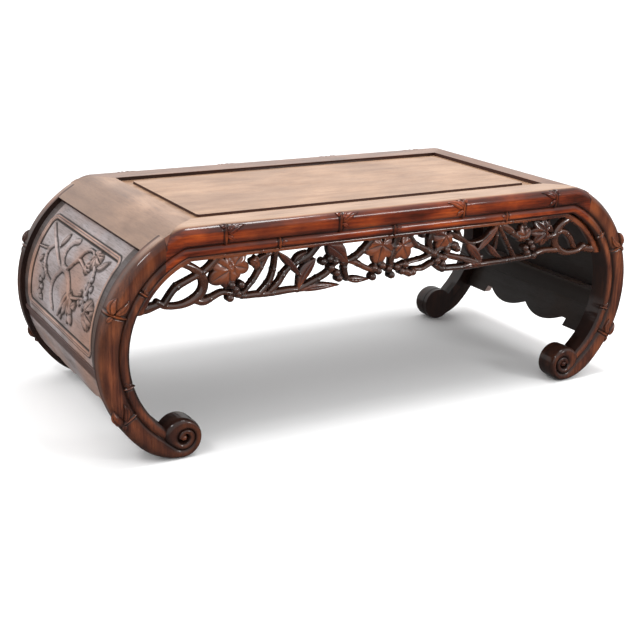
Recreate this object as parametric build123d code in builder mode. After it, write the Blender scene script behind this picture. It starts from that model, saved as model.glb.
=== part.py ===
from build123d import *
import os
from math import atan2, cos, degrees, radians, sin, sqrt

# A low kang table in hardwood: a waterfall top with a floating panel, four scrolled legs carved as
# bundled bamboo, pierced vine aprons front and back, and curved ends.
# Millimetres. The origin is the middle of the footprint, on the floor. +X runs along the table,
# +Y to its back and +Z up.

# ---- the whole table ----
table_length = 960
table_depth = 432  # over the crests of the bamboo bands
table_height = 344

# ---- side outline, seen from the front ----
end_fullness = 20.5  # how much more than half the height the radius of each end is
end_drop = 8.5  # the centre of each end lies below half the height
shoulder_radius = 50  # where the top turns over
foot_radius = 90  # where the leg turns under
scroll_radius = 30.5  # the volute that stands on the floor
seam_inset = 100  # from the table's end to the joint of leg and rail

# ---- bamboo bands, worked on every rail and leg ----
outer_band = 29.5
inner_band = 14.5
outer_rise = 5  # crest of the outer band above the groove beside it
inner_rise = 2.5
inner_reach = 5  # from the groove to the crest of the inner band
edge_drop = 8.5  # how far back the outer edge is eased
edge_reach = 8  # from the outer edge to the crest
ring_width = 4  # the raised joints of the bamboo
ring_rise = 1.6
ring_sink = 3  # into the band, below its surface
rail_outer_rings = (-0.84, -0.3, 0.345, 0.885)  # shares of the way from the middle to the shoulder
rail_inner_rings = (-0.59, -0.02, 0.6)
leg_outer_rings = (22, -29.8)  # degrees round the end, up from its centre
leg_inner_rings = (36.5, -15)
groove_width = 4  # carved line that runs into the volute
groove_depth = 3.5
volute_turns = (17.5, 13, 8.5)  # radius of each half turn, from the outside in
volute_shift = 1.4  # the first turn's centre, from the scroll's centre towards the middle
volute_lift = 1

# ---- frame of the top ----
leg_thickness = 39  # front to back, over the crest
strip_width = 29  # leg edge left showing beside the end panel
rail_width = 56  # front rail, crest to frame opening
end_frame_width = 161  # table's end to frame opening
board_thickness = 20  # waterfall boards, and the frame over the panel groove
board_end_angle = 51.3  # the lower edge of the waterfall board
board_nose = 3
mitre_tenon_length = 34  # from the frame opening into the end board
mitre_tenon_width = 18
mitre_tenon_thickness = 7
mitre_tenon_lift = 3  # above the underside of the frame boards

# ---- floating top panel ----
margin_drop = 6  # sunk border, below the frame
field_drop = 2  # raised field, below the frame
margin_length = 20
margin_width = 26
field_corner = 5
tongue_thickness = 7
tongue_depth = 9
tongue_room = 1  # for the panel to move with the seasons
batten_count = 3
batten_spacing = 205
batten_width = 32
batten_depth = 20  # below the frame boards
batten_tenon = 12
batten_tenon_width = 16
batten_tenon_height = 12
dovetail_rise = 3.5
dovetail_width = 28
dovetail_flare = 2  # each side, from neck to top
dovetail_stop = 10  # short of the frame

# ---- front and rear aprons ----
apron_thickness = 14
apron_setback = 12  # behind the crest
apron_drop = 120  # from the top of the table to the lower edge of the apron
apron_tongue = 6  # length of the tongue
apron_tongue_thickness = 8
apron_strip = 11  # solid border under the rail
apron_side = 15  # solid border beside the leg
apron_foot = 10  # bamboo stem along the lower edge
scroll_width = 11
vine_width = 8
stem_width = 6
blade_shoulders = (0.3, 0.6)  # shares of a bamboo leaf's length between which it is widest
leaf_lobes = 5
leaf_notch = 0.7  # reach of the notches between a vine leaf's lobes, as a share of the lobes'
grape_radius = 6
grape_sides = 6
grape_proud = 3  # in front of the apron
pattern_half_length = 423  # the size that the vine is drawn at
pattern_height = 55

# ---- curved ends ----
panel_thickness = 12
panel_tongue_angle = 2.4
panel_tongue_thickness = 6
panel_tongue_stop = 7  # short of the panel's sides
bead_width = 3.5
bead_rise = 1.6
bead_top_angle = 43.6
bead_bottom_angle = -2.8
bead_half_width = 166
lip_top_angle = -7.5
lip_bottom_angle = -10
lip_rise = 2.5  # the lip stands out from the panel
bar_thickness = 22  # the lower end rail
bar_top_angle = -6
bar_bottom_angle = -17.8
bar_tenon = 14
bar_tenon_width = 12
bar_tenon_height = 18

# ---- lower edge of the end apron ----
apron_flat_z = 64
apron_cusp_z = 76
apron_lobe_z = 62
cusp_y = 105
lobe_y = 47
step_y = 117

# ---- leg tenon in the top rail ----
leg_tenon_length = 18
leg_tenon_width = 10
leg_tenon_height = 9
leg_tenon_inset = 9  # from the leg's inner face to the tenon's middle
leg_tenon_drop = 10  # from the board's underside at the seam to the tenon's middle

fit_gap = 0.3  # left at the blind end of a mortise or groove

# ---- worked out from the sizes above ----
half_length = table_length / 2
half_depth = table_depth / 2
end_radius = table_height / 2 + end_fullness
end_centre_z = table_height / 2 - end_drop
end_x = half_length - end_radius
shoulder_z = table_height - shoulder_radius
shoulder_x = end_x + sqrt((end_radius - shoulder_radius) ** 2 - (shoulder_z - end_centre_z) ** 2)
shoulder_angle = degrees(atan2(shoulder_z - end_centre_z, shoulder_x - end_x))
foot_x = end_x + sqrt((end_radius - foot_radius) ** 2 - (end_centre_z - foot_radius) ** 2)
foot_angle = degrees(atan2(foot_radius - end_centre_z, foot_x - end_x))
seam_x = half_length - seam_inset
band_width = outer_band + inner_band
inner_radius = end_radius - band_width
seat_radius = end_radius - board_thickness
panel_radius = seat_radius + panel_thickness
groove_y = half_depth - outer_rise
leg_back = half_depth - leg_thickness
strip_y = half_depth - strip_width
opening_half_length = half_length - end_frame_width
opening_half_width = half_depth - rail_width
board_under_z = table_height - board_thickness
rail_under_z = table_height - band_width
apron_bottom = table_height - apron_drop
mitre_tenon_z = board_under_z + mitre_tenon_lift
tongue_top = table_height - margin_drop
tongue_bottom = tongue_top - tongue_thickness
panel_tongue_inner = seat_radius + (panel_thickness - panel_tongue_thickness) / 2
batten_middle_z = board_under_z - batten_depth / 2
seam_under_z = end_centre_z + sqrt(seat_radius**2 - (seam_x - end_x) ** 2)
leg_tenon_y = -leg_back - leg_tenon_inset
leg_tenon_z = seam_under_z - leg_tenon_drop
dovetail_angle = 90 - degrees(atan2(dovetail_flare, dovetail_rise))
bar_angle = (bar_top_angle + bar_bottom_angle) / 2
bar_radius = seat_radius - bar_thickness / 2
bead_half_angle = degrees(bead_width / 2 / panel_radius)
apron_back = half_depth - apron_setback - apron_thickness
apron_tongue_back = apron_back + (apron_thickness - apron_tongue_thickness) / 2
apron_half_length = end_x + sqrt(inner_radius**2 - (apron_bottom - end_centre_z) ** 2)
window_top = rail_under_z - apron_strip
window_bottom = apron_bottom + apron_foot
pattern_stretch = apron_half_length / pattern_half_length
pattern_rise = (window_top - window_bottom) / pattern_height
pattern_scale = max(pattern_stretch, pattern_rise)  # so that the carving still joins
shoulder_axis = Axis((shoulder_x, 0, shoulder_z), (0, 1, 0))
end_axis = Axis((end_x, 0, end_centre_z), (0, 1, 0))
foot_axis = Axis((foot_x, 0, foot_radius), (0, 1, 0))
scroll_axis = Axis((foot_x, 0, scroll_radius), (0, 1, 0))

os.makedirs("parts", exist_ok=True)


def on_round(radius, angle):
    """Point on the right-hand end, by its distance from the end's centre and its angle."""
    return (end_x + radius * cos(radians(angle)), end_centre_z + radius * sin(radians(angle)))


def x_on_round(radius, z):
    """Where a round of the right-hand end stands at a height."""
    return end_x + sqrt(radius**2 - (z - end_centre_z) ** 2)


def section_plane(centre_x, centre_z, angle):
    """Plane square to the outline: local X points outwards and local Y to the table's back."""
    out_x = cos(radians(angle))
    out_z = sin(radians(angle))
    return Plane(origin=(centre_x, 0, centre_z), x_dir=(out_x, 0, out_z), z_dir=(-out_z, 0, out_x))


def outer_crest(radius):
    """The eased edge and the front of the outer band."""
    Polyline(
        (radius, edge_drop - half_depth),
        (radius - edge_reach, -half_depth),
        (radius - outer_band, -groove_y),
    )


def inner_crest(radius):
    """The front of the inner band, in two flats."""
    Polyline(
        (radius - outer_band, -groove_y),
        (radius - outer_band - inner_reach, -groove_y - inner_rise),
        (radius - band_width, inner_rise - groove_y),
    )


def band_section(radius, steps):
    """Section through both bands, closed behind them by (radius, y) steps from the outside in."""
    with BuildLine() as outline:
        outer_crest(radius)
        inner_crest(radius)
        Polyline((radius, edge_drop - half_depth), *steps, (radius - band_width, inner_rise - groove_y))
    make_face(outline.edges())


def plain_section(radius, inner):
    """Section of the foot: the band's eased edge, then flat at the height of the crest."""
    with BuildLine() as outline:
        Polyline(
            (radius, edge_drop - half_depth),
            (radius - edge_reach, -half_depth),
            (inner, -half_depth),
            (inner, -leg_back),
            (radius, -leg_back),
            close=True,
        )
    make_face(outline.edges())


def outer_ring_face(radius):
    """A raised joint round the outer band."""
    with BuildLine() as outline:
        outer_crest(radius)
        Polyline(
            (radius, edge_drop - half_depth),
            (radius - ring_sink, ring_sink - groove_y),
            (radius - outer_band + ring_sink, ring_sink - groove_y),
            (radius - outer_band, -groove_y),
        )
    make_face(outline.edges())
    offset(amount=ring_rise, kind=Kind.INTERSECTION)


def inner_ring_face(radius):
    """A raised joint round the inner band."""
    with BuildLine() as outline:
        inner_crest(radius)
        Polyline(
            (radius - outer_band, -groove_y),
            (radius - band_width + ring_sink, 2 * ring_sink - groove_y),
            (radius - band_width, inner_rise - groove_y),
        )
    make_face(outline.edges())
    offset(amount=ring_rise, kind=Kind.INTERSECTION)


def ring_sector(inner, outer, low, high):
    """Sector of a ring about the right-hand end's centre, in the front view."""
    with BuildLine() as outline:
        CenterArc((end_x, end_centre_z), outer, low, high - low)
        Line(on_round(outer, high), on_round(inner, high))
        CenterArc((end_x, end_centre_z), inner, low, high - low)
        Line(on_round(inner, low), on_round(outer, low))
    make_face(outline.edges())


def arch_face(inset, bottom, mode=Mode.ADD):
    """The space between the legs down to a level, in the front view, inset from the inner band."""
    radius = inner_radius - inset
    top = rail_under_z - inset
    bend_radius = shoulder_radius - band_width - inset
    foot = (x_on_round(radius, bottom), bottom)
    bend_x = shoulder_x + bend_radius * cos(radians(shoulder_angle))
    bend_z = shoulder_z + bend_radius * sin(radians(shoulder_angle))
    bend_middle = radians((90 + shoulder_angle) / 2)
    half_way = (shoulder_angle + degrees(atan2(bottom - end_centre_z, foot[0] - end_x))) / 2
    with BuildLine() as outline:
        Line((0, top), (shoulder_x, top))
        ThreePointArc(
            (shoulder_x, top),
            (shoulder_x + bend_radius * cos(bend_middle), shoulder_z + bend_radius * sin(bend_middle)),
            (bend_x, bend_z),
        )
        ThreePointArc((bend_x, bend_z), on_round(radius, half_way), foot)
        Line(foot, (0, bottom))
        mirror(about=Plane.YZ)
    make_face(outline.edges(), mode=mode)


def panel_groove_face():
    """Plan of the groove that runs round the frame opening."""
    reach = tongue_depth + tongue_room
    Rectangle(2 * (opening_half_length + reach), 2 * (opening_half_width + reach))


def mitre_tenon_face(gap):
    """Plan of the tenon that joins a front rail to the right-hand end board across the mitre."""
    with Locations((opening_half_length + gap / 2, -(opening_half_width + leg_back) / 2)):
        Rectangle(2 * mitre_tenon_length + gap, mitre_tenon_width)


def bar_tenon_face():
    """Front view of the lower end rail's tenon."""
    with Locations(on_round(bar_radius, bar_angle)):
        Rectangle(bar_tenon_width, bar_tenon_height, rotation=bar_angle)


def write_copies(piece, names):
    """Write a right front piece and its mirrored copies, each under its own name."""
    for label, planes in names:
        with BuildPart() as copy:
            add(piece)
            for plane in planes:
                mirror(about=plane, mode=Mode.REPLACE)
        copy.part.label = label
        export_step(copy.part, f"parts/{label}.step")


# ---- end board: the waterfall board that closes the frame and rolls over the end ----
def board_section(radius):
    """Full-width slice of the band outline, as thick as the board."""
    band_section(radius, [(radius, 0), (radius - band_width, 0)])
    mirror(about=Plane.XZ)
    with Locations((radius - board_thickness / 2, 0)):
        Rectangle(board_thickness, 2 * table_depth, mode=Mode.INTERSECT)


with BuildPart() as board_blank:
    with BuildSketch(section_plane(shoulder_x, shoulder_z, 90)):
        board_section(shoulder_radius)
    extrude(amount=shoulder_x - opening_half_length)
    with BuildSketch(section_plane(shoulder_x, shoulder_z, 90)):
        board_section(shoulder_radius)
    revolve(axis=shoulder_axis, revolution_arc=90 - shoulder_angle)
    with BuildSketch(section_plane(end_x, end_centre_z, shoulder_angle)):
        board_section(end_radius)
    revolve(axis=end_axis, revolution_arc=shoulder_angle - board_end_angle)
    # mitred corners, and notches that fit round the tops of the legs
    with BuildSketch(Plane.XY):
        with BuildLine():
            Polyline(
                (opening_half_length, 0),
                (opening_half_length, -opening_half_width),
                (seam_x, -half_depth),
                (seam_x, -strip_y),
                (half_length, -strip_y),
                (half_length, 0),
            )
            mirror(about=Plane.XZ)
        make_face()
    extrude(amount=2 * table_height, mode=Mode.INTERSECT)

with BuildPart() as end_board:
    add(board_blank.part)
    # rounded lower edge, and the groove for the end panel behind it
    lower_edges = end_board.edges().filter_by(Axis.Y).sort_by(Axis.Z)[0:2]
    fillet(lower_edges.sort_by(Axis.X)[-1], board_nose)
    with BuildSketch(Plane.XZ):
        ring_sector(
            panel_tongue_inner,
            panel_tongue_inner + panel_tongue_thickness,
            board_end_angle - panel_tongue_angle,
            board_end_angle + panel_tongue_angle + degrees(fit_gap / seat_radius),
        )
    extrude(amount=strip_y - panel_tongue_stop, both=True, mode=Mode.SUBTRACT)
    # groove for the floating panel
    with BuildSketch(Plane.XY.offset(tongue_bottom)):
        panel_groove_face()
    extrude(amount=tongue_thickness, mode=Mode.SUBTRACT)
    # mortises for the rails' mitre tenons
    with BuildSketch(Plane.XY.offset(mitre_tenon_z)):
        mitre_tenon_face(fit_gap)
        mirror(about=Plane.XZ)
    extrude(amount=mitre_tenon_thickness, mode=Mode.SUBTRACT)

write_copies(end_board.part, [("right_end_board", []), ("left_end_board", [Plane.YZ])])


# ---- top rails: the long members of the frame, with both bands worked on the front ----
def rail_section(radius):
    """L-shaped section: the frame board on top and the deep banded front below it."""
    band_section(
        radius,
        [
            (radius, -opening_half_width),
            (radius - board_thickness, -opening_half_width),
            (radius - board_thickness, -leg_back),
            (radius - band_width, -leg_back),
        ],
    )


with BuildPart() as top_rail:
    with BuildSketch(section_plane(shoulder_x, shoulder_z, 90)):
        rail_section(shoulder_radius)
    extrude(amount=shoulder_x)
    with BuildSketch(section_plane(shoulder_x, shoulder_z, 90)):
        rail_section(shoulder_radius)
    revolve(axis=shoulder_axis, revolution_arc=90 - shoulder_angle)
    with BuildSketch(section_plane(end_x, end_centre_z, shoulder_angle)):
        rail_section(end_radius)
    revolve(axis=end_axis, revolution_arc=shoulder_angle)
    split(bisect_by=Plane.YZ.offset(seam_x), keep=Keep.BOTTOM)
    # the frame board stops at the mitre, where its tenon enters the end board
    add(board_blank.part, mode=Mode.SUBTRACT)
    with BuildSketch(Plane.XY.offset(mitre_tenon_z)):
        mitre_tenon_face(0)
    extrude(amount=mitre_tenon_thickness)
    # mortise for the leg's tenon
    with BuildSketch(Plane.YZ.offset(seam_x - leg_tenon_length - fit_gap)):
        with Locations((leg_tenon_y, leg_tenon_z)):
            Rectangle(leg_tenon_width, leg_tenon_height)
    extrude(amount=leg_tenon_length + fit_gap, mode=Mode.SUBTRACT)
    mirror(about=Plane.YZ)
    # groove for the floating panel
    with BuildSketch(Plane.XY.offset(tongue_bottom)):
        panel_groove_face()
    extrude(amount=tongue_thickness, mode=Mode.SUBTRACT)
    # groove for the apron
    with BuildSketch(Plane.XZ.offset(apron_tongue_back)):
        arch_face(-apron_tongue - fit_gap, apron_bottom)
    extrude(amount=apron_tongue_thickness, mode=Mode.SUBTRACT)
    # mortises for the battens
    with BuildSketch(Plane.XZ.offset(leg_back)):
        with Locations((0, batten_middle_z)):
            with GridLocations(batten_spacing, 1, batten_count, 1):
                Rectangle(batten_tenon_width, batten_tenon_height)
    extrude(amount=batten_tenon + fit_gap, mode=Mode.SUBTRACT)
    # raised joints of the bamboo
    for share in rail_outer_rings:
        place = share * shoulder_x
        with BuildSketch(Plane(origin=(place, 0, 0), x_dir=(0, 0, 1), z_dir=(-1, 0, 0))):
            outer_ring_face(table_height)
            with Locations((rail_under_z, -half_depth)):
                Rectangle(2 * band_width, 2 * rail_width, mode=Mode.INTERSECT)
        extrude(amount=ring_width / 2, both=True)
    for share in rail_inner_rings:
        place = share * shoulder_x
        with BuildSketch(Plane(origin=(place, 0, 0), x_dir=(0, 0, 1), z_dir=(-1, 0, 0))):
            inner_ring_face(table_height)
        extrude(amount=ring_width / 2, both=True)

write_copies(top_rail.part, [("front_top_rail", []), ("rear_top_rail", [Plane.XZ])])


# ---- legs: banded scrolls that end in a volute on the floor ----
volute_x = foot_x - volute_shift
volute_z = scroll_radius + volute_lift
volute_entry = (
    volute_x + volute_turns[0] * cos(radians(foot_angle)),
    volute_z + volute_turns[0] * sin(radians(foot_angle)),
)
groove_entry = on_round(end_radius - outer_band, foot_angle)

with BuildPart() as leg:
    with BuildSketch(section_plane(end_x, end_centre_z, shoulder_angle)):
        band_section(end_radius, [(end_radius, -leg_back), (inner_radius, -leg_back)])
    revolve(axis=end_axis, revolution_arc=shoulder_angle - foot_angle)
    split(bisect_by=Plane.YZ.offset(seam_x), keep=Keep.TOP)
    # the foot turns under on a smaller round, into the volute
    with BuildSketch(section_plane(foot_x, foot_radius, foot_angle)):
        plain_section(foot_radius, foot_radius - band_width)
    revolve(axis=foot_axis, revolution_arc=90 + foot_angle)
    with BuildSketch(section_plane(foot_x, scroll_radius, 0)):
        plain_section(scroll_radius, 0)
    revolve(axis=scroll_axis, revolution_arc=360)
    # the inner band lies lower than the outer one and dies against the volute
    with BuildSketch(Plane.XZ.offset(half_depth)):
        with BuildLine():
            Polyline(
                groove_entry,
                volute_entry,
                (foot_x, scroll_radius),
                (foot_x, foot_radius),
                on_round(inner_radius, foot_angle),
                close=True,
            )
        make_face()
        with Locations((foot_x, scroll_radius)):
            Circle(scroll_radius, mode=Mode.SUBTRACT)
    extrude(amount=-(outer_rise - inner_rise), mode=Mode.SUBTRACT)
    # the carved line runs straight down the foot and then in half turns to the eye
    with BuildSketch(Plane.XZ.offset(half_depth)):
        with BuildLine() as scroll_line:
            Line(groove_entry, volute_entry)
            CenterArc((volute_x, volute_z), volute_turns[0], foot_angle, -180 - foot_angle)
            turn_x = volute_x - volute_turns[0]
            for turn, radius in enumerate(volute_turns[1:]):
                side = 1 if turn % 2 == 0 else -1
                CenterArc((turn_x + side * radius, volute_z), radius, 90 + 90 * side, -180)
                turn_x += 2 * side * radius
        trace(line_width=groove_width)
    extrude(amount=-groove_depth, mode=Mode.SUBTRACT)
    # rebate for the end panel and the end apron
    with BuildSketch(Plane.XZ.offset(leg_back)):
        ring_sector(seat_radius, end_radius + board_thickness, foot_angle, 90)
        with Locations((half_length, 0)):
            Rectangle(table_length, 2 * apron_flat_z, mode=Mode.SUBTRACT)
    extrude(amount=strip_y - leg_back, mode=Mode.SUBTRACT)
    # mortise for the lower end rail
    with BuildSketch(Plane.XZ.offset(leg_back)):
        bar_tenon_face()
    extrude(amount=bar_tenon + fit_gap, mode=Mode.SUBTRACT)
    # groove for the apron, stopped at its lower edge
    with BuildSketch(Plane.XZ.offset(apron_tongue_back)):
        arch_face(-apron_tongue - fit_gap, apron_bottom)
    extrude(amount=apron_tongue_thickness, mode=Mode.SUBTRACT)
    # tenon into the top rail
    with BuildSketch(Plane.YZ.offset(seam_x - leg_tenon_length)):
        with Locations((leg_tenon_y, leg_tenon_z)):
            Rectangle(leg_tenon_width, leg_tenon_height)
    extrude(amount=leg_tenon_length + groove_depth)
    # raised joints of the bamboo
    for angle in leg_outer_rings:
        with BuildSketch(section_plane(end_x, end_centre_z, angle)):
            outer_ring_face(end_radius)
        extrude(amount=ring_width / 2, both=True)
    for angle in leg_inner_rings:
        with BuildSketch(section_plane(end_x, end_centre_z, angle)):
            inner_ring_face(end_radius)
        extrude(amount=ring_width / 2, both=True)

write_copies(
    leg.part,
    [
        ("front_right_leg", []),
        ("front_left_leg", [Plane.YZ]),
        ("rear_right_leg", [Plane.XZ]),
        ("rear_left_leg", [Plane.YZ, Plane.XZ]),
    ],
)

# ---- floating top panel, with its raised field and sunk border ----
with BuildPart() as top_panel:
    with BuildSketch(Plane.XY.offset(tongue_bottom)):
        Rectangle(2 * (opening_half_length + tongue_depth), 2 * (opening_half_width + tongue_depth))
    extrude(amount=tongue_thickness)
    with BuildSketch(Plane.XY.offset(tongue_top)):
        field = Rectangle(
            2 * (opening_half_length - margin_length), 2 * (opening_half_width - margin_width)
        )
        fillet(field.vertices(), field_corner)
    extrude(amount=margin_drop - field_drop)
    # dovetail housings for the battens
    with BuildSketch(Plane.XZ.offset(-opening_half_width + dovetail_stop)):
        with Locations((0, tongue_bottom + dovetail_rise / 2)):
            with GridLocations(batten_spacing, 1, batten_count, 1):
                Trapezoid(dovetail_width, dovetail_rise, dovetail_angle, rotation=180)
    extrude(amount=2 * (opening_half_width - dovetail_stop), mode=Mode.SUBTRACT)

top_panel.part.label = "top_panel"
export_step(top_panel.part, "parts/top_panel.step")

# ---- battens: dovetailed across the back of the panel and tenoned into the rails ----
batten_names = ("left_panel_batten", "centre_panel_batten", "right_panel_batten")
for index in range(batten_count):
    batten_x = (index - (batten_count - 1) / 2) * batten_spacing
    with BuildPart() as batten:
        with BuildSketch(Plane.XZ):
            with Locations((batten_x, batten_middle_z)):
                Rectangle(batten_width, batten_depth)
        extrude(amount=leg_back, both=True)
        with BuildSketch(Plane.XZ):
            with Locations((batten_x, (board_under_z + tongue_bottom) / 2)):
                Rectangle(batten_width, tongue_bottom - board_under_z)
        extrude(amount=opening_half_width, both=True)
        with BuildSketch(Plane.XZ):
            with Locations((batten_x, tongue_bottom + dovetail_rise / 2)):
                Trapezoid(dovetail_width, dovetail_rise, dovetail_angle, rotation=180)
        extrude(amount=opening_half_width - dovetail_stop, both=True)
        with BuildSketch(Plane.XZ):
            with Locations((batten_x, batten_middle_z)):
                Rectangle(batten_tenon_width, batten_tenon_height)
        extrude(amount=leg_back + batten_tenon, both=True)
    batten.part.label = batten_names[index]
    export_step(batten.part, f"parts/{batten_names[index]}.step")

# ---- end panels: curved boards with a beaded frame, tongued into the end boards ----
with BuildPart() as end_panel:
    with BuildSketch(Plane.XZ):
        ring_sector(seat_radius, panel_radius, lip_top_angle, board_end_angle)
    extrude(amount=strip_y, both=True)
    with BuildSketch(Plane.XZ):
        ring_sector(
            panel_tongue_inner,
            panel_tongue_inner + panel_tongue_thickness,
            board_end_angle,
            board_end_angle + panel_tongue_angle,
        )
    extrude(amount=strip_y - panel_tongue_stop, both=True)
    with BuildSketch(Plane.XZ):
        ring_sector(
            panel_radius,
            panel_radius + bead_rise,
            bead_bottom_angle - bead_half_angle,
            bead_top_angle + bead_half_angle,
        )
    extrude(amount=bead_half_width, both=True)
    with BuildSketch(Plane.XZ):
        ring_sector(
            panel_radius,
            panel_radius + 2 * bead_rise,
            bead_bottom_angle + bead_half_angle,
            bead_top_angle - bead_half_angle,
        )
    extrude(amount=bead_half_width - bead_width, both=True, mode=Mode.SUBTRACT)

write_copies(end_panel.part, [("right_end_panel", []), ("left_end_panel", [Plane.YZ])])

# ---- lower end rails: a bar behind and a lip between panel and apron, tenoned into the legs ----
with BuildPart() as lower_end_rail:
    with BuildSketch(Plane.XZ):
        ring_sector(seat_radius - bar_thickness, seat_radius, bar_bottom_angle, bar_top_angle)
    extrude(amount=leg_back, both=True)
    with BuildSketch(Plane.XZ):
        ring_sector(seat_radius, panel_radius + lip_rise, lip_bottom_angle, lip_top_angle)
    extrude(amount=strip_y, both=True)
    with BuildSketch(Plane.XZ):
        bar_tenon_face()
    extrude(amount=leg_back + bar_tenon, both=True)

write_copies(lower_end_rail.part, [("right_lower_rail", []), ("left_lower_rail", [Plane.YZ])])

# ---- end aprons: the curve of the panel carried on below the rail, with a shaped lower edge ----
with BuildPart() as end_apron:
    with BuildSketch(Plane.XZ):
        ring_sector(seat_radius, panel_radius, foot_angle, lip_bottom_angle)
    extrude(amount=strip_y, both=True)
    with BuildSketch(Plane.YZ):
        with BuildLine():
            Line((0, 0), (strip_y, 0))
            Line((strip_y, 0), (strip_y, apron_flat_z))
            Line((strip_y, apron_flat_z), (step_y, apron_flat_z))
            Line((step_y, apron_flat_z), (step_y, apron_cusp_z))
            Line((step_y, apron_cusp_z), (cusp_y, apron_cusp_z))
            ThreePointArc((cusp_y, apron_cusp_z), (lobe_y, apron_lobe_z), (0, apron_cusp_z))
            mirror(about=Plane.YZ)
        make_face()
    extrude(amount=half_length, mode=Mode.SUBTRACT)

write_copies(end_apron.part, [("right_end_apron", []), ("left_end_apron", [Plane.YZ])])


# ---- aprons: a pierced panel of vine and bamboo inside a solid border ----
def spot(x, rise):
    """Place in the pierced field: along from the middle, and up from the lower stem."""
    return (x * pattern_stretch, window_bottom + rise * pattern_rise)


def vine(width, places):
    """A winding branch, as an arc through each three places."""
    points = [spot(*place) for place in places]
    with BuildLine() as run:
        for first in range(0, len(points) - 2, 2):
            ThreePointArc(*points[first : first + 3])
    trace(run.edges(), width * pattern_scale)


def stem(width, places):
    """A bamboo stem or a knotted branch, straight from joint to joint."""
    with BuildLine() as run:
        Polyline(*[spot(*place) for place in places])
    trace(run.edges(), width * pattern_scale)


def blade(root, tip, width):
    """A slender bamboo leaf from root to tip."""
    start = Vector(*spot(*root))
    end = Vector(*spot(*tip))
    side = Vector(start.Y - end.Y, end.X - start.X).normalized() * width * pattern_scale / 2
    lower, upper = [start + (end - start) * share for share in blade_shoulders]
    with BuildLine() as outline:
        Polyline(start, lower + side, upper + side, end, upper - side, lower - side, close=True)
    make_face(outline.edges())


def vine_leaf(place, size, turn):
    """A broad leaf with pointed lobes."""
    centre = Vector(*spot(*place))
    rim = []
    for step in range(2 * leaf_lobes):
        reach = size * pattern_scale * (leaf_notch if step % 2 else 1)
        rim.append(centre + Vector(reach, 0).rotate(Axis.Z, turn + 180 * step / leaf_lobes))
    with BuildLine() as outline:
        Polyline(*rim, close=True)
    make_face(outline.edges())


scrolls = [
    [(-342, 55), (-323, 38), (-316, 23), (-318, 9), (-327, -1)],
    [(345, 55), (325, 38), (317, 23), (318, 9), (327, -1)],
]
vines = [
    [(-216, 50), (-238, 18), (-262, -1)],
    [(-133, 52), (-180, 34), (-212, -1)],
]
branches = [
    [(-377, 0), (-362, 21), (-333, 34), (-296, 56)],
    [(-166, -4), (-138, 6), (-98, 30)],
    [(-82, 28), (-36, 56)],
    [(6, 56), (-2, 24), (-14, -2)],
    [(26, 56), (48, 38), (84, 22)],
    [(318, 36), (355, 22), (376, 0)],
]
stems = [
    [(-350, -1), (-331, 10), (-327, 30), (-356, 50)],
    [(-203, 56), (-206, 24), (-230, -1)],
    [(-84, 32), (-84, -1)],
    [(-80, 30), (-44, 12), (-20, 16)],
    [(-266, 30), (-268, -1)],
    [(8, 12), (60, 24), (84, 24)],
    [(112, 56), (120, 8), (136, -1)],
    [(203, 56), (218, 30), (239, -1)],
    [(210, 44), (248, 26), (268, -1)],
    [(268, 22), (290, 20), (314, 24)],
    [(350, -1), (331, 10), (330, 34), (358, 50)],
]
blades = [
    [(-258, 44), (-226, 36), 12],
    [(-238, 40), (-202, 57), 10],
    [(-198, 57), (-156, 6), 10],
    [(-138, 40), (-170, -5), 17],
    [(-172, -4), (-94, -3), 10],
    [(-124, 58), (-78, 24), 24],
    [(32, -3), (84, 6), 10],
    [(137, 42), (174, -4), 13],
    [(201, 58), (156, 10), 13],
    [(174, 32), (215, -3), 11],
    [(210, 56), (246, 32), 12],
]
vine_leaves = [
    [(-292, 34), 21, 20],
    [(-262, 42), 17, 60],
    [(-24, 38), 20, 15],
    [(22, 36), 18, 50],
    [(92, 42), 18, 10],
    [(253, 42), 14, 40],
    [(288, 37), 19, 0],
]
grapes = [(-274, 16), (-261, 12), (-272, 4)]
grapes += [(-113, 33), (-107, 22)]
grapes += [(-22, 14), (-32, 6), (-8, 11), (-4, -1), (19, 14), (24, 3)]
grapes += [(80, 26), (86, 15), (94, 5)]
grapes += [(259, 14), (272, 15), (266, 3)]

with BuildPart() as apron:
    with BuildSketch(Plane.XZ.offset(apron_back)):
        arch_face(0, apron_bottom)
        foot = (x_on_round(inner_radius - apron_side, window_bottom), window_bottom)
        top = (x_on_round(inner_radius - apron_side, window_top), window_top)
        with BuildLine():
            Line((0, window_bottom), foot)
            RadiusArc(foot, top, apron_side - inner_radius)
            Line(top, (0, window_top))
            mirror(about=Plane.YZ)
        make_face(mode=Mode.SUBTRACT)
        for run in scrolls:
            vine(scroll_width, run)
        for run in vines:
            vine(vine_width, run)
        for run in branches:
            stem(vine_width, run)
        for run in stems:
            stem(stem_width, run)
        for root, tip, width in blades:
            blade(root, tip, width)
        for place, size, turn in vine_leaves:
            vine_leaf(place, size, turn)
    extrude(amount=apron_thickness)
    # the grapes stand in front of the leaves and stems
    with BuildSketch(Plane.XZ.offset(apron_back)):
        with Locations([spot(*place) for place in grapes]):
            RegularPolygon(grape_radius * pattern_scale, grape_sides)
    extrude(amount=apron_thickness + grape_proud)
    with BuildSketch(Plane.XZ.offset(apron_tongue_back)):
        arch_face(-apron_tongue, apron_bottom)
        arch_face(0, apron_bottom, Mode.SUBTRACT)
    extrude(amount=apron_tongue_thickness)

write_copies(apron.part, [("front_apron", []), ("rear_apron", [Plane.XZ])])
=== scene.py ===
from math import acos, atan2, cos, degrees, pi, radians, sin, sqrt

import bmesh
import bpy
import numpy as np
from mathutils import Matrix, Vector


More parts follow.
